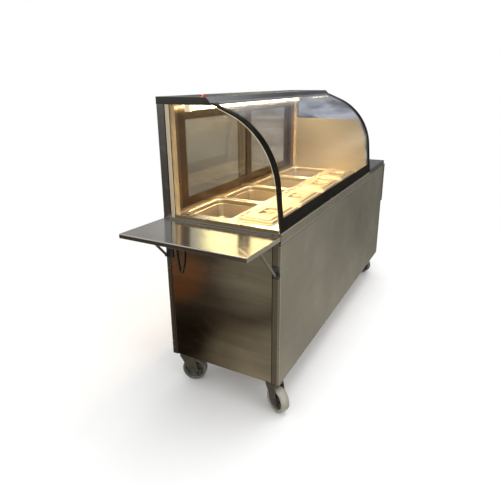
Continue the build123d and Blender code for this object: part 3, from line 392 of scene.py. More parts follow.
def lit_reflector(name, paint_tone, glow_tone, strength):
    """White-painted reflector, with a painted glow close to the lamp tube and brown away from it."""
    g = material_graph(name)
    low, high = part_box("lamp_tube")
    away = g.sum("ABSOLUTE", g.sum("SUBTRACT", g.axis(1), (low.y + high.y) / 2), 0.0)
    patches = g.noise(g.place((3, 9, 9), (2, 5, 1)), 1.0, 4.0, 0.6)
    brown = g.mix(g.span(patches, 0.35, 0.65), (0.16, 0.10, 0.055), (0.26, 0.17, 0.10))
    colour = g.mix(g.span(away, 0.05, 0.11), paint_tone, brown)
    # Painted glow: the reflector emits light near the tube, though it is no lamp.
    glow = g.span(away, 0.015, 0.085, strength, 0.0, smooth=True)
    near = g.span(g.axis(0), low.x - 0.03, low.x + 0.04)
    far = g.span(g.axis(0), high.x + 0.03, high.x - 0.04)
    paint_and_glow = g.principled(Base_Color=colour, Roughness=0.4, Emission_Color=glow_tone)
    g.put(paint_and_glow.inputs["Emission Strength"], g.sum("MULTIPLY", glow, g.sum("MULTIPLY", near, far)))
    return g.finish(paint_and_glow)


# ---------------------------------------------------------------- mesh helpers
SHARP = math.radians(35.0)


def mesh_object(name, vertices, faces):
    """A mesh piece with smooth faces and sharp creases kept."""
    mesh = bpy.data.meshes.new(name)
    mesh.from_pydata([tuple(v) for v in vertices], [], faces)
    work = bmesh.new()
    work.from_mesh(mesh)
    bmesh.ops.remove_doubles(work, verts=work.verts, dist=1e-6)
    bmesh.ops.recalc_face_normals(work, faces=work.faces)
    for face in work.faces:
        face.smooth = True
    for edge in work.edges:
        if len(edge.link_faces) == 2 and edge.calc_face_angle(0.0) > SHARP:
            edge.smooth = False
    work.to_mesh(mesh)
    work.free()
    made = bpy.data.objects.new(name, mesh)
    bpy.context.scene.collection.objects.link(made)
    return made


def rounded_loop(x, y, z, length, width, radius, steps=7):
    """Corner-rounded rectangle of points at one height, anticlockwise."""
    points = []
    for sign_x, sign_y, start in ((1, 1, 0), (-1, 1, 90), (-1, -1, 180), (1, -1, 270)):
        centre_x = x + sign_x * (length / 2 - radius)
        centre_y = y + sign_y * (width / 2 - radius)
        for k in range(steps + 1):
            angle = math.radians(start + 90 * k / steps)
            points.append(
                Vector((centre_x + radius * math.cos(angle), centre_y + radius * math.sin(angle), z))
            )
    return points


def skin(name, loops, wrap=False):
    """A surface through matching loops of points, capped at both ends or wrapped into a ring."""
    count = len(loops[0])
    vertices = [point for loop in loops for point in loop]
    faces = []
    rows = len(loops) if wrap else len(loops) - 1
    for row in range(rows):
        a = row * count
        b = ((row + 1) % len(loops)) * count
        for k in range(count):
            n = (k + 1) % count
            faces.append((a + k, a + n, b + n, b + k))
    if not wrap:
        faces.append(tuple(reversed(range(count))))
        faces.append(tuple(range((len(loops) - 1) * count, len(loops) * count)))
    return mesh_object(name, vertices, faces)


def circle(centre, across, up, radius, sides):
    """Points round a circle."""
    points = []
    for s in range(sides):
        angle = 2 * math.pi * s / sides
        points.append(centre + radius * (math.cos(angle) * across + math.sin(angle) * up))
    return points


def tube(name, path, radius, sides):
    """A round bar of one radius along a path of points, capped at both ends."""
    loops = []
    steep = abs((path[1] - path[0]).normalized().x) < 0.8
    reference = Vector((1, 0, 0)) if steep else Vector((0, 0, 1))
    for k, point in enumerate(path):
        before = path[max(0, k - 1)]
        after = path[min(len(path) - 1, k + 1)]
        along = (after - before).normalized()
        across = (reference - along * reference.dot(along)).normalized()
        reference = across
        loops.append(circle(point, across, along.cross(across), radius, sides))
    return skin(name, loops)


def revolved(name, profile, centre, axle, steps=64):
    """A closed section turned about the axle: profile holds (radius, distance along the axle)."""
    radial = axle.orthogonal().normalized()
    other = axle.cross(radial)
    loops = [circle(centre + axle * along, radial, other, radius, steps) for radius, along in profile]
    return skin(name, loops, wrap=True)


def soften(piece, width):
    """Round a piece's hard edges with a narrow bevel."""
    bevel = piece.modifiers.new("edge_round", "BEVEL")
    bevel.width = width
    bevel.segments = 2
    bevel.limit_method = "ANGLE"
    bevel.angle_limit = math.radians(40)


def paint(obj, material):
    """Give a whole object one material, in every slot it has."""
    if not obj.material_slots:
        obj.data.materials.append(material)
    for each in obj.material_slots:
        each.material = material


def fit(piece, material, body, node=None):
    """Paint a piece and fix it to a body; it stands for the CAD node where one is named."""
    paint(piece, material)
    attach(piece, body)
    if node is not None:
        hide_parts(node)


# ---------------------------------------------------------------- materials
SHADOW_TONE = (0.03, 0.026, 0.02)
SEAM_WIDTH = 0.0035
SEAM_LAP = 0.0002
CUSTOMER_FLANGE = 0.027
SERVER_FLANGE = 0.025
DIVIDER_STRIP = 0.020
PANE_TINT = (0.97, 0.975, 0.965)

panel_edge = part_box("customer_panel")[0].x
customer_steel = brushed_steel(
    "customer_steel",
    (0.63, 0.625, 0.58),
    (0.44, 0.435, 0.395),
    roughness=0.20,
    clouds=3.2,
    tint=(0.40, 0.40, 0.36),
    tint_and_reflection_amount=0.45,
    streak_share=0.12,
    rounded=True,
    # Painted highlight on the fold at the panel's near edge.
    seams=((0, panel_edge - 0.001, panel_edge + 0.006, (0.80, 0.78, 0.72)),),
)
# Its brown tint patches and dark bands are painted reflections of the room.
end_steel = brushed_steel(
    "end_steel",
    (0.60, 0.57, 0.51),
    (0.50, 0.47, 0.41),
    grain=1,
    roughness=0.065,
    tint=(0.48, 0.42, 0.34),
    reflection_bands=0.32,
)
frame_low, frame_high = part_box("body_frame")
customer_seam = frame_low.y + CUSTOMER_FLANGE
server_seam = frame_high.y - SERVER_FLANGE
frame_steel = brushed_steel(
    "frame_steel",
    (0.50, 0.48, 0.44),
    (0.38, 0.365, 0.33),
    grain=2,
    roughness=0.24,
    streak_share=0.12,
    rounded=True,
    seams=(
        (1, customer_seam - SEAM_WIDTH, customer_seam + SEAM_LAP, SHADOW_TONE),
        (1, server_seam - SEAM_LAP, server_seam + SEAM_WIDTH, SHADOW_TONE),
    ),
)
trim_low, trim_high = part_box("counter_top")
counter_steel = brushed_steel(
    "counter_steel",
    (0.53, 0.51, 0.46),
    (0.40, 0.39, 0.35),
    roughness=0.26,
    rounded=True,
    # Painted light and shade on the trim: highlight on its fold, shade on the brown near face,
    # shadow and highlight on the fold at its foot, the lamp's warm light on the golden top.
    seams=(
        (2, trim_low.z + 0.048, trim_low.z + 0.054, (0.86, 0.85, 0.80)),
        (0, trim_low.x - 0.001, trim_low.x + 0.0015, (0.30, 0.22, 0.125)),
        (2, trim_low.z - 0.001, trim_low.z + 0.0035, (0.10, 0.095, 0.085)),
        (2, trim_low.z + 0.0035, trim_low.z + 0.008, (0.80, 0.79, 0.74)),
        (2, trim_high.z - 0.0022, trim_high.z + 0.001, (0.43, 0.34, 0.215)),
    ),
)
# Golden: the lamp's warm light partly painted into the steel's tone.
inner_steel = brushed_steel(
    "inner_steel", (0.72, 0.66, 0.52), (0.60, 0.54, 0.41), grain=1, roughness=0.42, aniso=0.2
)
reflector_white = lit_reflector("reflector_white", (0.86, 0.83, 0.76), (1.0, 0.84, 0.58), 3.2)
canopy_steel = brushed_steel(
    "canopy_steel",
    (0.33, 0.335, 0.34),
    (0.22, 0.225, 0.23),
    roughness=0.11,
    tint=(0.10, 0.11, 0.12),
    tint_and_reflection_amount=0.5,
)
track_steel = brushed_steel(
    "track_steel", (0.27, 0.20, 0.125), (0.14, 0.10, 0.06), roughness=0.28, clouds=6.0
)
door_steel = brushed_steel(
    "door_steel",
    (0.15, 0.10, 0.058),
    (0.07, 0.046, 0.026),
    grain=2,
    roughness=0.28,
    clouds=6.0,
    tint=(0.17, 0.095, 0.042),
    aniso=0.2,
    edge_highlight=0.25,
)
post_steel = brushed_steel(
    "post_steel",
    (0.50, 0.50, 0.49),
    (0.40, 0.40, 0.385),
    grain=2,
    roughness=0.24,
    strip=(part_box("case_posts")[0].y, DIVIDER_STRIP),
)
server_tones = ((0.42, 0.40, 0.36), (0.30, 0.285, 0.25))
cabinet_door_steel = brushed_steel("cabinet_door_steel", *server_tones, grain=2, roughness=0.3)
control_steel = brushed_steel("control_steel", *server_tones, roughness=0.3)
shelf_steel = brushed_steel(
    "shelf_steel", (0.60, 0.585, 0.55), (0.50, 0.485, 0.45), grain=1, roughness=0.12, aniso=0.2
)
strut_steel = brushed_steel("strut_steel", (0.52, 0.50, 0.46), (0.36, 0.34, 0.30))
# Golden: the lamp's warm light partly painted into the steel's tone; pressed adds painted ridge highlights
# and groove shade.
pan_steel = brushed_steel(
    "pan_steel",
    (0.76, 0.67, 0.52),
    (0.66, 0.58, 0.44),
    roughness=0.32,
    aniso=0.2,
    rounded=True,
    pressed=0.8,
)
# Golden: the lamp's warm light partly painted into the steel's tone; pressed adds painted ridge highlights
# and groove shade.
lid_steel = brushed_steel(
    "lid_steel",
    (0.60, 0.475, 0.30),
    (0.47, 0.37, 0.23),
    roughness=0.50,
    aniso=0.2,
    rounded=True,
    pressed=0.9,
)
zinc = brushed_steel(
    "castor_zinc", (0.30, 0.29, 0.26), (0.15, 0.145, 0.125), grain=2, roughness=0.36, clouds=24.0, aniso=0.0
)
heater_metal = brushed_steel(
    "heater_metal", (0.30, 0.26, 0.22), (0.14, 0.11, 0.10), roughness=0.42, clouds=30.0
)
brass = brushed_steel("valve_brass", (0.66, 0.49, 0.22), (0.42, 0.29, 0.11), grain=2, clouds=30.0)
tread_rubber = moulded(
    "tread_rubber", (0.34, 0.31, 0.26), (0.25, 0.235, 0.195), roughness=0.5, dust=0.25
)
# Darker copy of the tread for the wheels in shadow: painted shade, with dust.
tread_shaded = moulded(
    "tread_shaded", (0.135, 0.13, 0.105), (0.075, 0.072, 0.058), roughness=0.55, dust=0.2
)
# Dark wheel centre: partly its own dark plastic, partly painted shade of the recessed web.
hub_plastic = moulded("hub_plastic", (0.085, 0.08, 0.065), (0.045, 0.042, 0.034), roughness=0.4, dust=0.2)
bracket_black = moulded(
    "bracket_black", (0.030, 0.028, 0.026), (0.015, 0.014, 0.013), roughness=0.42, dust=0.12
)
border_black = moulded(
    "border_black",
    (0.010, 0.008, 0.006),
    (0.006, 0.005, 0.004),
    roughness=0.3,
    bump=0.02,
    dust=0.01,
    shine=0.12,
)
cord_rubber = moulded("cord_rubber", (0.085, 0.048, 0.026), (0.05, 0.028, 0.016), roughness=0.5, dust=0.1)
knob_plastic = moulded("knob_plastic", (0.030, 0.030, 0.032), (0.018, 0.018, 0.019), roughness=0.3)
switch_red = moulded(
    "switch_red", (0.72, 0.035, 0.03), (0.55, 0.02, 0.02), roughness=0.25, bump=0.05, coat=0.4, dust=0.02
)
worktop_dark = moulded(
    "worktop_dark",
    (0.026, 0.027, 0.031),
    (0.015, 0.016, 0.019),
    roughness=0.22,
    grain=420.0,
    bump=0.04,
    dust=0.02,
    shine=0.4,
)
curved_pane = clear_glass(
    "curved_pane",
    PANE_TINT,
    0.015,
    0.008,
    rim="ends",
    rim_colour=(0.012, 0.010, 0.008),
    reflect=0.9,
    bordered=("curved_glass", 0.050, 0.057),
)
# Bright rim round the end panes: painted highlight on their polished edges.
glass = clear_glass("clear_glass", PANE_TINT, 0.012, 0.008, rim="around", rim_colour=(0.80, 0.76, 0.62))
door_glass = clear_glass("door_glass", (0.90, 0.88, 0.82), 0.05, 0.015)
# Painted highlight of the end panes' polished edges.
arris_highlight = moulded(
    "arris_highlight", (0.80, 0.72, 0.50), (0.70, 0.60, 0.40), roughness=0.25, bump=0.02, dust=0.0
)
lamp = glowing("lamp_warm", (1.0, 0.80, 0.50), 24.0)

painted = {
    customer_steel: ["customer_panel"],
    end_steel: ["near_end_panel", "far_end_panel"],
    frame_steel: ["body_frame"],
    post_steel: ["case_posts"],
    counter_steel: ["counter_top"],
    inner_steel: ["floor_panel", "middle_shelf", "water_well", "splash_panel"],
    reflector_white: ["lamp_reflector"],
    canopy_steel: ["canopy"],
    track_steel: ["case_door_tracks", "cabinet_door_tracks"],
    door_steel: ["left_glass_door", "right_glass_door"],
    cabinet_door_steel: ["left_cabinet_door", "right_cabinet_door"],
    control_steel: ["control_panel"],
    shelf_steel: ["near_shelf", "far_shelf"],
    strut_steel: ["near_struts", "far_struts", "hinge_leaves"],
    zinc: ["castor_plates", "castor_bolts"] + [f"{corner}_fork" for corner in CORNERS],
    tread_rubber: [f"{corner}_wheel" for corner in CORNERS],
    heater_metal: ["heating_elements"],
    brass: ["drain_valve"],
    bracket_black: ["strut_brackets"],
    border_black: ["glass_border"],
    cord_rubber: ["power_cord"],
    knob_plastic: ["thermostat_knob", "drain_lever"],
    switch_red: ["lamp_switch"],
    worktop_dark: ["side_worktop"],
    curved_pane: ["curved_glass"],
    glass: ["end_glass"],
    door_glass: ["left_door_pane", "right_door_pane"],
    lamp: ["lamp_tube"],
}
for material, names in painted.items():
    for name in names:
        paint(NODES[name], material)


# ---------------------------------------------------------------- pans and lids
PAN_GAUGE = 0.0012
PAN_RIM = 0.012
LID_GAUGE = 0.0010
LID_BORDER_X = 0.120
LID_BORDER_Y = 0.070
HANDLE_RADIUS = 0.0035
HANDLE_SIDES = 14
# Half of the lid's handle: distance from its middle and how far it has bent down there.
HANDLE_BEND = ((0.034, 0.0045), (0.031, 0.0020), (0.026, 0.0004), (0.015, 0.0))


def pan_piece(node):
    """Pressed gastronorm pan: rolled rim, rounded shoulder, tapered walls and a dished floor."""
    low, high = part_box(node)
    x, y = (low.x + high.x) / 2, (low.y + high.y) / 2
    length, width = high.x - low.x, high.y - low.y
    base, top = low.z, high.z
    floor = base + PAN_GAUGE
    rim = PAN_RIM
    # (inset from the outer edge, height, corner radius), up the inside and back down the outside.
    rows = [
        (rim + 0.040, floor + 0.0012, 0.008),
        (rim + 0.024, floor + 0.0004, 0.018),
        (rim + 0.0150, floor + 0.0016, 0.026),
        (rim + 0.0112, floor + 0.0052, 0.029),
        (rim + 0.0098, floor + 0.0105, 0.030),
        (rim + 0.0042, top - 0.030, 0.031),
        (rim + 0.0036, top - 0.024, 0.032),
        (rim + 0.0022, top - 0.023, 0.033),
        (rim + 0.0014, top - 0.006, 0.033),
        (rim + 0.0004, top - 0.0022, 0.033),
        (rim - 0.0022, top - 0.0003, 0.030),
        (0.0030, top - 0.0001, 0.015),
        (0.0010, top - 0.0004, 0.014),
        (0.0, top - 0.0014, 0.014),
        (0.0006, top - 0.0015, 0.014),
        (rim - 0.0005, top - 0.0015, 0.028),
        (rim + 0.0006, top - 0.0040, 0.030),
        (rim + 0.0014, top - 0.024, 0.030),
        (rim + 0.0090, base + 0.012, 0.028),
        (rim + 0.0105, base + 0.0050, 0.027),
        (rim + 0.0150, base + 0.0008, 0.024),
        (rim + 0.026, base, 0.016),
    ]
    loops = [
        rounded_loop(x, y, z, length - 2 * inset, width - 2 * inset, radius)
        for inset, z, radius in rows
    ]
    fit(skin(node + "_pressed", loops), pan_steel, node, node)


def lid_piece(node):
    """Pressed lid: turned-down rim, raised bead, stepped crown and a dished recess with a bar handle."""
    low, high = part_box(node)
    x, y = (low.x + high.x) / 2, (low.y + high.y) / 2
    length, width = high.x - low.x, high.y - low.y
    base, top = low.z, high.z
    recess_x = 0.5 * (length - LID_BORDER_X)
    recess_y = 0.5 * (width - LID_BORDER_Y)
    # (inset in x, inset in y, height, corner radius), from the recess floor out over the top to the rim.
    rows = [
        (recess_x + 0.010, recess_y + 0.008, base + 0.0042, 0.010),
        (recess_x + 0.004, recess_y + 0.003, base + 0.0045, 0.014),
        (recess_x + 0.001, recess_y + 0.001, base + 0.0075, 0.016),
        (recess_x - 0.001, recess_y - 0.001, top - 0.0030, 0.017),
        (recess_x - 0.003, recess_y - 0.003, top - 0.0010, 0.018),
        (recess_x - 0.006, recess_y - 0.006, top - 0.0006, 0.018),
        (0.037, 0.031, top - 0.0006, 0.022),
        (0.034, 0.028, top - 0.0016, 0.022),
        (0.031, 0.025, top - 0.0060, 0.022),
        (0.027, 0.021, top - 0.0072, 0.022),
        (0.021, 0.017, top - 0.0072, 0.020),
        (0.018, 0.014, top - 0.0060, 0.019),
        (0.014, 0.010, top - 0.0060, 0.018),
        (0.011, 0.008, top - 0.0095, 0.017),
        (0.008, 0.006, base + 0.0030, 0.016),
        (0.0015, 0.0015, base + 0.0026, 0.014),
        (0.0002, 0.0002, base + 0.0018, 0.014),
        (0.0, 0.0, base + 0.0002, 0.014),
    ]
    outer = [
        rounded_loop(x, y, z, length - 2 * inset_x, width - 2 * inset_y, radius)
        for inset_x, inset_y, z, radius in rows
    ]
    inner = [
        rounded_loop(
            x,
            y,
            max(base, z - LID_GAUGE),
            length - 2 * inset_x - 2 * LID_GAUGE,
            width - 2 * inset_y - 2 * LID_GAUGE,
            max(0.004, radius - LID_GAUGE),
        )
        for inset_x, inset_y, z, radius in reversed(rows)
    ]
    fit(skin(node + "_pressed", outer + inner), lid_steel, node, node)
    bar = top - 0.0040
    path = [Vector((x, y - reach, bar - drop)) for reach, drop in HANDLE_BEND]
    path.append(Vector((x, y, bar)))
    path += [Vector((x, y + reach, bar - drop)) for reach, drop in reversed(HANDLE_BEND)]
    fit(tube(node + "_handle", path, HANDLE_RADIUS, HANDLE_SIDES), lid_steel, node)


for row in ("rear", "front"):
    for number in range(1, 5):
        pan_piece(f"{row}_pan_{number}")
for number in range(1, 5):
    lid_piece(f"front_lid_{number}")


# ---------------------------------------------------------------- painted highlights on the polished edges of the end panes
ARRIS_RADIUS = 0.0014
ARRIS_INSET = 0.0035
ARRIS_STEP = 0.008
ARRIS_PROUD = 0.0006


def pane_arris(name, x, outward):
    """Painted highlight on the ground and polished edge of an end pane: a fine bright bead just inside its
    curve.
    """
    pane = NODES["end_glass"]
    low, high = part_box("end_glass")
    placed = [pane.matrix_world @ vertex.co for vertex in pane.data.vertices]
    on_face = {(round(p.y, 5), round(p.z, 5)) for p in placed if abs(p.x - x) < 0.0005}
    curve = [(y, z) for y, z in on_face if y < high.y - 0.004]
    path = []
    for y, z in sorted(curve, key=lambda point: (point[1], point[0])):
        point = Vector((x + outward * ARRIS_PROUD, y, z))
        if not path or (point - path[-1]).length > ARRIS_STEP:
            path.append(point)
    middle = Vector((path[0].x, high.y, low.z))
    path = [point + (middle - point).normalized() * ARRIS_INSET for point in path]
    fit(tube(name, path, ARRIS_RADIUS, 8), arris_highlight, ROOT)


pane_low, pane_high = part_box("end_glass")
pane_arris("near_pane_arris", pane_low.x, -1)
pane_arris("far_pane_arris", pane_high.x, 1)


# ---------------------------------------------------------------- mains lead
LEAD_RADIUS = 0.0040
LEAD_SIDES = 14
LEAD_STEPS = 16
LEAD_TIP = 0.006
LEAD_BULGE = 0.004
PIN_OFFSET = 0.0095
PLUG_LEAN = 0.0025
GLAND_SECTION = (
    (0.0041, 0.0),
    (0.0056, 0.0),
    (0.0060, 0.0006),
    (0.0060, 0.0044),
    (0.0056, 0.0050),
    (0.0041, 0.0050),
)


def mains_lead():
    """Rubber lead: out of its gland, hanging in a leaf-shaped loop, and back up to its parked plug."""
    low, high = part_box("power_cord")
    centre_x = low.x + 0.012
    bottom = low.z + LEAD_RADIUS
    gland_z = low.z + 0.171
    plug_z = low.z + 0.131
    out_y = high.y - 0.006
    back_y = low.y + 0.017
    middle_y = (out_y + back_y) / 2
    tip = LEAD_TIP
    start_z = gland_z - 0.006
    path = [
        Vector((high.x, out_y, gland_z)),
        Vector((centre_x + 0.008, out_y, gland_z)),
        Vector((centre_x + 0.003, out_y, gland_z - 0.0015)),
    ]
    for k in range(LEAD_STEPS + 1):
        t = k / LEAD_STEPS
        side = out_y + (middle_y + tip - out_y) * t**2.2
        path.append(Vector((centre_x, side, start_z + (bottom + tip - start_z) * t)))
    for k in range(1, 8):
        turn = math.pi * k / 8
        path.append(Vector((centre_x, middle_y + tip * math.cos(turn), bottom + tip - tip * math.sin(turn))))
    for k in range(LEAD_STEPS + 1):
        t = k / LEAD_STEPS
        bulge = LEAD_BULGE * math.sin(math.pi * t)
        side = middle_y - tip + (back_y - middle_y + tip) * math.sin(t * math.pi / 2) - bulge
        path.append(Vector((centre_x, side, bottom + tip + (plug_z + 0.002 - bottom - tip) * t)))
    lead = tube("mains_lead_cable", path, LEAD_RADIUS, LEAD_SIDES)
    gland = revolved(
        "mains_lead_gland",
        GLAND_SECTION,
        Vector((high.x - 0.006, out_y, gland_z)),
        Vector((1, 0, 0)),
        24,
    )
    # Plug, from its ribbed boss up: height, depth off the panel, width along it, corner radius, shift out.
    rows = [
        (0.0000, 0.0095, 0.0095, 0.0047, 0.0),
        (0.0006, 0.0110, 0.0110, 0.0055, 0.0),
        (0.0026, 0.0112, 0.0112, 0.0056, 0.0),
        (0.0032, 0.0098, 0.0098, 0.0049, 0.0),
        (0.0046, 0.0098, 0.0098, 0.0049, 0.0),
        (0.0052, 0.0116, 0.0116, 0.0058, 0.0),
        (0.0074, 0.0116, 0.0116, 0.0058, 0.0),
        (0.0080, 0.0100, 0.0100, 0.0050, 0.0),
        (0.0094, 0.0100, 0.0100, 0.0050, 0.0),
        (0.0100, 0.0120, 0.0120, 0.0060, 0.0),
        (0.0125, 0.0120, 0.0120, 0.0060, 0.0),
        (0.0155, 0.0126, 0.0160, 0.0060, 0.0008),
        (0.0185, 0.0162, 0.0262, 0.0070, 0.0020),
        (0.0215, 0.0182, 0.0322, 0.0076, PLUG_LEAN),
        (0.0245, 0.0190, 0.0340, 0.0078, PLUG_LEAN),
        (0.0330, 0.0190, 0.0340, 0.0078, PLUG_LEAN),
        (0.0336, 0.0182, 0.0332, 0.0074, PLUG_LEAN),
        (0.0346, 0.0182, 0.0332, 0.0074, PLUG_LEAN),
        (0.0352, 0.0190, 0.0340, 0.0078, PLUG_LEAN),
        (0.0405, 0.0188, 0.0338, 0.0077, PLUG_LEAN),
        (0.0416, 0.0180, 0.0330, 0.0073, PLUG_LEAN),
        (0.0420, 0.0162, 0.0312, 0.0065, PLUG_LEAN),
    ]
    loops = [
        rounded_loop(centre_x - shift, back_y, plug_z + up, depth, width, corner)
        for up, depth, width, corner, shift in rows
    ]
    fit(lead, cord_rubber, ROOT, "power_cord")
    fit(gland, cord_rubber, ROOT)
    fit(skin("mains_lead_plug", loops), cord_rubber, ROOT)
    # Pins: (height, thickness), narrowing to a rounded end.
    pin_rows = ((0.041, 0.0048), (0.0580, 0.0048), (0.0600, 0.0042), (0.0608, 0.0030), (0.0610, 0.0014))
    for number, side in ((1, -PIN_OFFSET), (2, PIN_OFFSET)):
        pin_loops = [
            rounded_loop(centre_x - PLUG_LEAN, back_y + side, plug_z + up, across, across, across / 2)
            for up, across in pin_rows
        ]
        fit(skin(f"mains_lead_pin_{number}", pin_loops), strut_steel, ROOT)


mains_lead()


# ---------------------------------------------------------------- castor wheels
TREAD_HALF = 0.023
RIBS = 6
RIB_HALF_WIDTH = 0.0022
# Half of the wheel centre's section: (radius, distance from the middle of the wheel).
CENTRE_SECTION = (
    (0.0051, 0.0245),
    (0.0130, 0.0245),
    (0.0150, 0.0230),
    (0.0165, 0.0130),
    (0.0200, 0.0075),
    (0.0400, 0.0060),
    (0.0445, 0.0090),
    (0.0470, 0.0115),
)


def mirrored(section):
    """Both halves of a wheel section, as one closed outline."""
    return [(radius, -along) for radius, along in section] + list(reversed(section))


def wheel_pieces(corner):
    """Grey tread and rim on a dark spoked centre with a hub, its darkness partly painted shade, replacing the
    plain turned wheel.
    """
    node = f"{corner}_wheel"
    joint = next(j for j in frame["joints"] if j["child"] == node)
    centre = Vector(joint["pos_m"])
    axle = Vector(joint["axis"]).normalized()
    tread_section = (
        (0.0470, 0.0120),
        (0.0480, 0.0200),
        (0.0510, TREAD_HALF),
        (0.0565, TREAD_HALF),
        (0.0605, 0.0205),
        (0.0627, 0.0155),
        (centre.z, 0.0080),
    )
    tread = revolved(node + "_tread", mirrored(tread_section), centre, axle)
    # The two wheels in shade get the darker copy of the tread: painted shade.
    in_shade = corner in ("near_server", "far_customer")
    fit(tread, tread_shaded if in_shade else tread_rubber, node, node)
    fit(revolved(node + "_centre", mirrored(CENTRE_SECTION), centre, axle), hub_plastic, node)
    fit(ribs(node + "_ribs", centre, axle), hub_plastic, node)


def ribs(name, centre, axle):
    """Moulded ribs between hub and rim on both faces of the wheel centre."""
    radial = axle.orthogonal().normalized()
    other = axle.cross(radial)
    vertices = []
    faces = []
    for side in (-1, 1):
        for k in range(RIBS):
            angle = 2 * math.pi * (k + 0.5) / RIBS
            out = radial * math.cos(angle) + other * math.sin(angle)
            across = axle.cross(out)
            a = len(vertices)
            for reach, deep, high in ((0.0155, 0.0060, 0.0200), (0.0462, 0.0050, 0.0150)):
                for width in (-RIB_HALF_WIDTH, RIB_HALF_WIDTH):
                    for along in (deep, high):
                        vertices.append(centre + out * reach + across * width + axle * side * along)
            faces += [
                (a, a + 1, a + 3, a + 2),
                (a + 4, a + 6, a + 7, a + 5),
                (a, a + 4, a + 5, a + 1),
                (a + 2, a + 3, a + 7, a + 6),
                (a + 1, a + 5, a + 7, a + 3),
                (a, a + 2, a + 6, a + 4),
            ]
    piece = mesh_object(name, vertices, faces)
    soften(piece, 0.0007)
    return piece


for corner in CORNERS:
    wheel_pieces(corner)


# ---------------------------------------------------------------- floor and surroundings
FLOOR_HALF = 40.0
FLOOR_FADE = (1.4, 3.6)
# The dim room that shows behind glass.
ROOM_TONE = (0.30, 0.28, 0.25)
# The room as reflections see it, from straight down (0) to straight up (1).
ROOM_BY_HEIGHT = (
    (0.00, (0.16, 0.14, 0.12)),
    (0.36, (0.34, 0.31, 0.26)),
    (0.46, (0.42, 0.40, 0.36)),
    (0.54, (0.50, 0.49, 0.47)),
    (0.64, (0.62, 0.62, 0.62)),
    (1.00, (0.95, 0.97, 1.00)),
)
# Large soft panels and dark gaps: azimuth and elevation in degrees, half width, softness, colour, strength.
PANELS = (
    # Seen in the near end panel: brown at the left, near black low down, pale to the right.
    (148, -27, 27, 10, (0.066, 0.048, 0.033), 0.97),
    (142, -24, 2.5, 3, (0.18, 0.070, 0.026), 0.90),
    (153, -24, 4, 5, (0.27, 0.245, 0.185), 0.90),
    (142, -32, 4, 4, (0.010, 0.007, 0.004), 0.97),
    (150, -34, 3, 4, (0.21, 0.175, 0.12), 0.90),
    (155, -35, 4, 4, (0.33, 0.29, 0.21), 0.90),
    # Seen in the customer panel: lighter low down.
    (-24, -28, 22, 18, (0.43, 0.40, 0.33), 0.88),
    (-11, -13, 10, 9, (0.14, 0.13, 0.105), 0.90),
    # Seen in the roof and the shelf, with a bright window low behind the server.
    (27, 1, 10, 6, (0.14, 0.145, 0.155), 0.90),
    (46, 17, 8, 8, (0.34, 0.33, 0.31), 0.80),
    (27.0, 16.3, 6.4, 2.4, (3.5, 3.2, 1.9), 1.00),
    # Seen in the curved glass.
    (-18, 20, 14, 12, (0.10, 0.10, 0.11), 0.90),
    (6, 20, 9, 8, (0.13, 0.14, 0.17), 0.88),
    (-60, 40, 16, 12, (1.30, 1.32, 1.35), 0.80),
    (-150, 35, 20, 14, (1.10, 1.10, 1.10), 0.80),
    (90, 25, 20, 14, (0.90, 0.90, 0.92), 0.70),
)


def heading(azimuth, elevation):
    """Unit direction from two angles in degrees."""
    a, e = math.radians(azimuth), math.radians(elevation)
    return (math.cos(a) * math.cos(e), math.sin(a) * math.cos(e), math.sin(e))


def cos_degrees(angle):
    return math.cos(math.radians(angle))


def room_behind_glass(g, direction):
    """Colour of the room seen through the panes: cloudy and warm, with blue-grey shelving to the right."""
    shapes = g.noise(direction, 3.2, 2.0, 0.5)
    warm = g.scaled(ROOM_TONE, g.span(shapes, 0.36, 0.64, 0.55, 1.35))
    tilted = g.node("Mapping")
    tilted.inputs["Scale"].default_value = (1.0, 1.0, 3.4)
    tilted.inputs["Rotation"].default_value = (0.3, 0.25, 0.0)
    g.put(tilted.inputs["Vector"], direction)
    shelving = g.noise(tilted.outputs["Vector"], 11.0, 3.0, 0.5, 0.8)
    streaked = g.ramp(shelving, ((0.40, (0.09, 0.095, 0.14)), (0.64, (0.62, 0.66, 0.80))))
    to_right = g.span(g.dot(direction, heading(8, 0)), cos_degrees(22), cos_degrees(14))
    return g.mix(to_right, warm, streaked)


def seen_backdrop(g, depth, direction):
    """White straight to the eye; the dim room where the eye looks through a pane."""
    return g.mix(g.span(depth, 0.4, 0.6), (1, 1, 1), room_behind_glass(g, direction))


def build_floor():
    """Pale floor that fades into the white backdrop, unseen by reflections."""
    corners = [(-1, -1, 0), (1, -1, 0), (1, 1, 0), (-1, 1, 0)]
    floor = mesh_object("studio_floor", [Vector(c) * FLOOR_HALF for c in corners], [(0, 1, 2, 3)])
    g = material_graph("floor_pale")
    grain = g.noise(g.place(), 3.0, 4.0, 0.5)
    colour = g.mix(g.span(grain, 0.3, 0.7), (0.86, 0.86, 0.86), (0.88, 0.88, 0.88))
    matt = g.principled(Base_Color=colour, Roughness=0.9)
    outward = g.scaled(g.node("NewGeometry").outputs["Incoming"], -1.0)
    depth = g.node("LightPath").outputs["Transparent Depth"]
    backdrop = g.shader("Emission", Color=seen_backdrop(g, depth, outward))
    distance = g.node("VectorMath", operation="LENGTH")
    g.put(distance.inputs[0], g.place())
    fade = g.mix_shaders(g.span(distance.outputs["Value"], *FLOOR_FADE, smooth=True), matt, backdrop)
    floor.data.materials.append(g.finish(fade))
    floor.visible_glossy = False


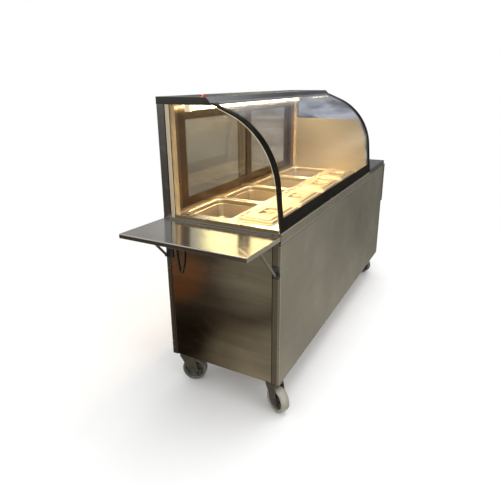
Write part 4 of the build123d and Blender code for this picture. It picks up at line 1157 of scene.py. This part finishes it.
def build_world():
    """White studio to the eye; to reflections, a dim warm room with large soft panels in it."""
    world = bpy.data.worlds.new("studio")
    bpy.context.scene.world = world
    g = Graph(world, "OutputWorld")
    direction = g.node("TexCoord").outputs["Generated"]
    colour = g.ramp(g.span(g.part(direction, 2), -1.0, 1.0), ROOM_BY_HEIGHT)
    for azimuth, elevation, half_width, softness, tone, strength in PANELS:
        outer = cos_degrees(half_width + softness / 2)
        inner = cos_degrees(max(0.0, half_width - softness / 2))
        nearness = g.dot(direction, heading(azimuth, elevation))
        colour = g.mix(g.span(nearness, outer, inner, 0.0, strength, smooth=True), colour, tone)
    clutter = g.noise(direction, 5.0, 3.0, 0.5)
    reflected = g.shader("Background", Color=g.scaled(colour, g.span(clutter, 0.35, 0.65, 0.82, 1.18)))
    path = g.node("LightPath")
    seen = g.shader("Background", Color=seen_backdrop(g, path.outputs["Transparent Depth"], direction))
    g.finish(g.mix_shaders(path.outputs["Is Glossy Ray"], seen, reflected))


# ---------------------------------------------------------------- lights
LAMP_LIGHT = (1.0, 0.68, 0.31)
OVERHEAD_POWER = 90
CUSTOMER_SIDE_POWER = 45
CASE_GLOW_POWER = 4.5
CANOPY_BOUNCE_POWER = 4


def area_light(name, place, target, size, power, colour=(1, 1, 1), spread=180):
    """Soft rectangular lamp aimed at a point."""
    data = bpy.data.lights.new(name, "AREA")
    data.shape = "RECTANGLE"
    data.size, data.size_y = size
    data.energy = power
    data.color = colour
    data.spread = math.radians(spread)
    made = bpy.data.objects.new(name, data)
    bpy.context.scene.collection.objects.link(made)
    made.location = place
    made.rotation_euler = (Vector(target) - Vector(place)).to_track_quat("-Z", "Y").to_euler()
    return made


def build_lights():
    """Two soft studio lamps, the case's own lamp and the light it throws about under the canopy."""
    low, high = cad_bounds
    middle = (Vector(low) + Vector(high)) / 2
    area_light("overhead", (middle.x, middle.y - 0.6, 4.2), middle, (3.6, 2.4), OVERHEAD_POWER)
    area_light("customer_side", (middle.x - 1.6, -3.6, 2.4), middle, (2.4, 1.8), CUSTOMER_SIDE_POWER)
    tube_low, tube_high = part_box("lamp_tube")
    x, y = (tube_low.x + tube_high.x) / 2, (tube_low.y + tube_high.y) / 2
    length = tube_high.x - tube_low.x
    place = (x, y - 0.012, tube_low.z - 0.004)
    target = (x, y - 0.10, 0.0)
    strip = area_light("case_glow", place, target, (length, 0.03), CASE_GLOW_POWER, LAMP_LIGHT, 150)
    place = (x, y - 0.15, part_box("canopy")[0].z - 0.02)
    target = (x, y - 0.16, 0.0)
    bounce = area_light("canopy_bounce", place, target, (length, 0.22), CANOPY_BOUNCE_POWER, LAMP_LIGHT, 120)
    strip.visible_camera = False
    bounce.visible_camera = False


# ---------------------------------------------------------------- camera
CAMERA_BACK = 1.590
CAMERA_Y = -1.007
CAMERA_RISE = 0.598
CAMERA_YAW = 27.6
CAMERA_PITCH = -18.37
CAMERA_ROLL = -0.3
SENSOR_MM = 36.0
LENS_MM = 32.31
SHIFT = (-0.0081, -0.0395)


def build_camera():
    """Camera at the near end, low above the shelf, looking along the customer side."""
    near_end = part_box("body_frame")[0].x
    frame_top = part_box("body_frame")[1].z
    place = Vector((near_end - CAMERA_BACK, CAMERA_Y, frame_top + CAMERA_RISE))
    yaw = math.radians(CAMERA_YAW)
    ahead = Vector(heading(CAMERA_YAW, CAMERA_PITCH))
    right = Vector((math.sin(yaw), -math.cos(yaw), 0))
    up = right.cross(ahead)
    data = bpy.data.cameras.new("camera")
    data.sensor_width = SENSOR_MM
    data.lens = LENS_MM
    data.shift_x, data.shift_y = SHIFT
    data.clip_start = 0.05
    camera = bpy.data.objects.new("camera", data)
    bpy.context.scene.collection.objects.link(camera)
    turn = Matrix((right, up, -ahead)).transposed().to_4x4()
    roll = Matrix.Rotation(math.radians(CAMERA_ROLL), 4, "Z")
    camera.matrix_world = Matrix.Translation(place) @ turn @ roll
    bpy.context.scene.camera = camera


build_floor()
build_world()
build_lights()
build_camera()
bpy.context.scene.view_settings.view_transform = "Standard"
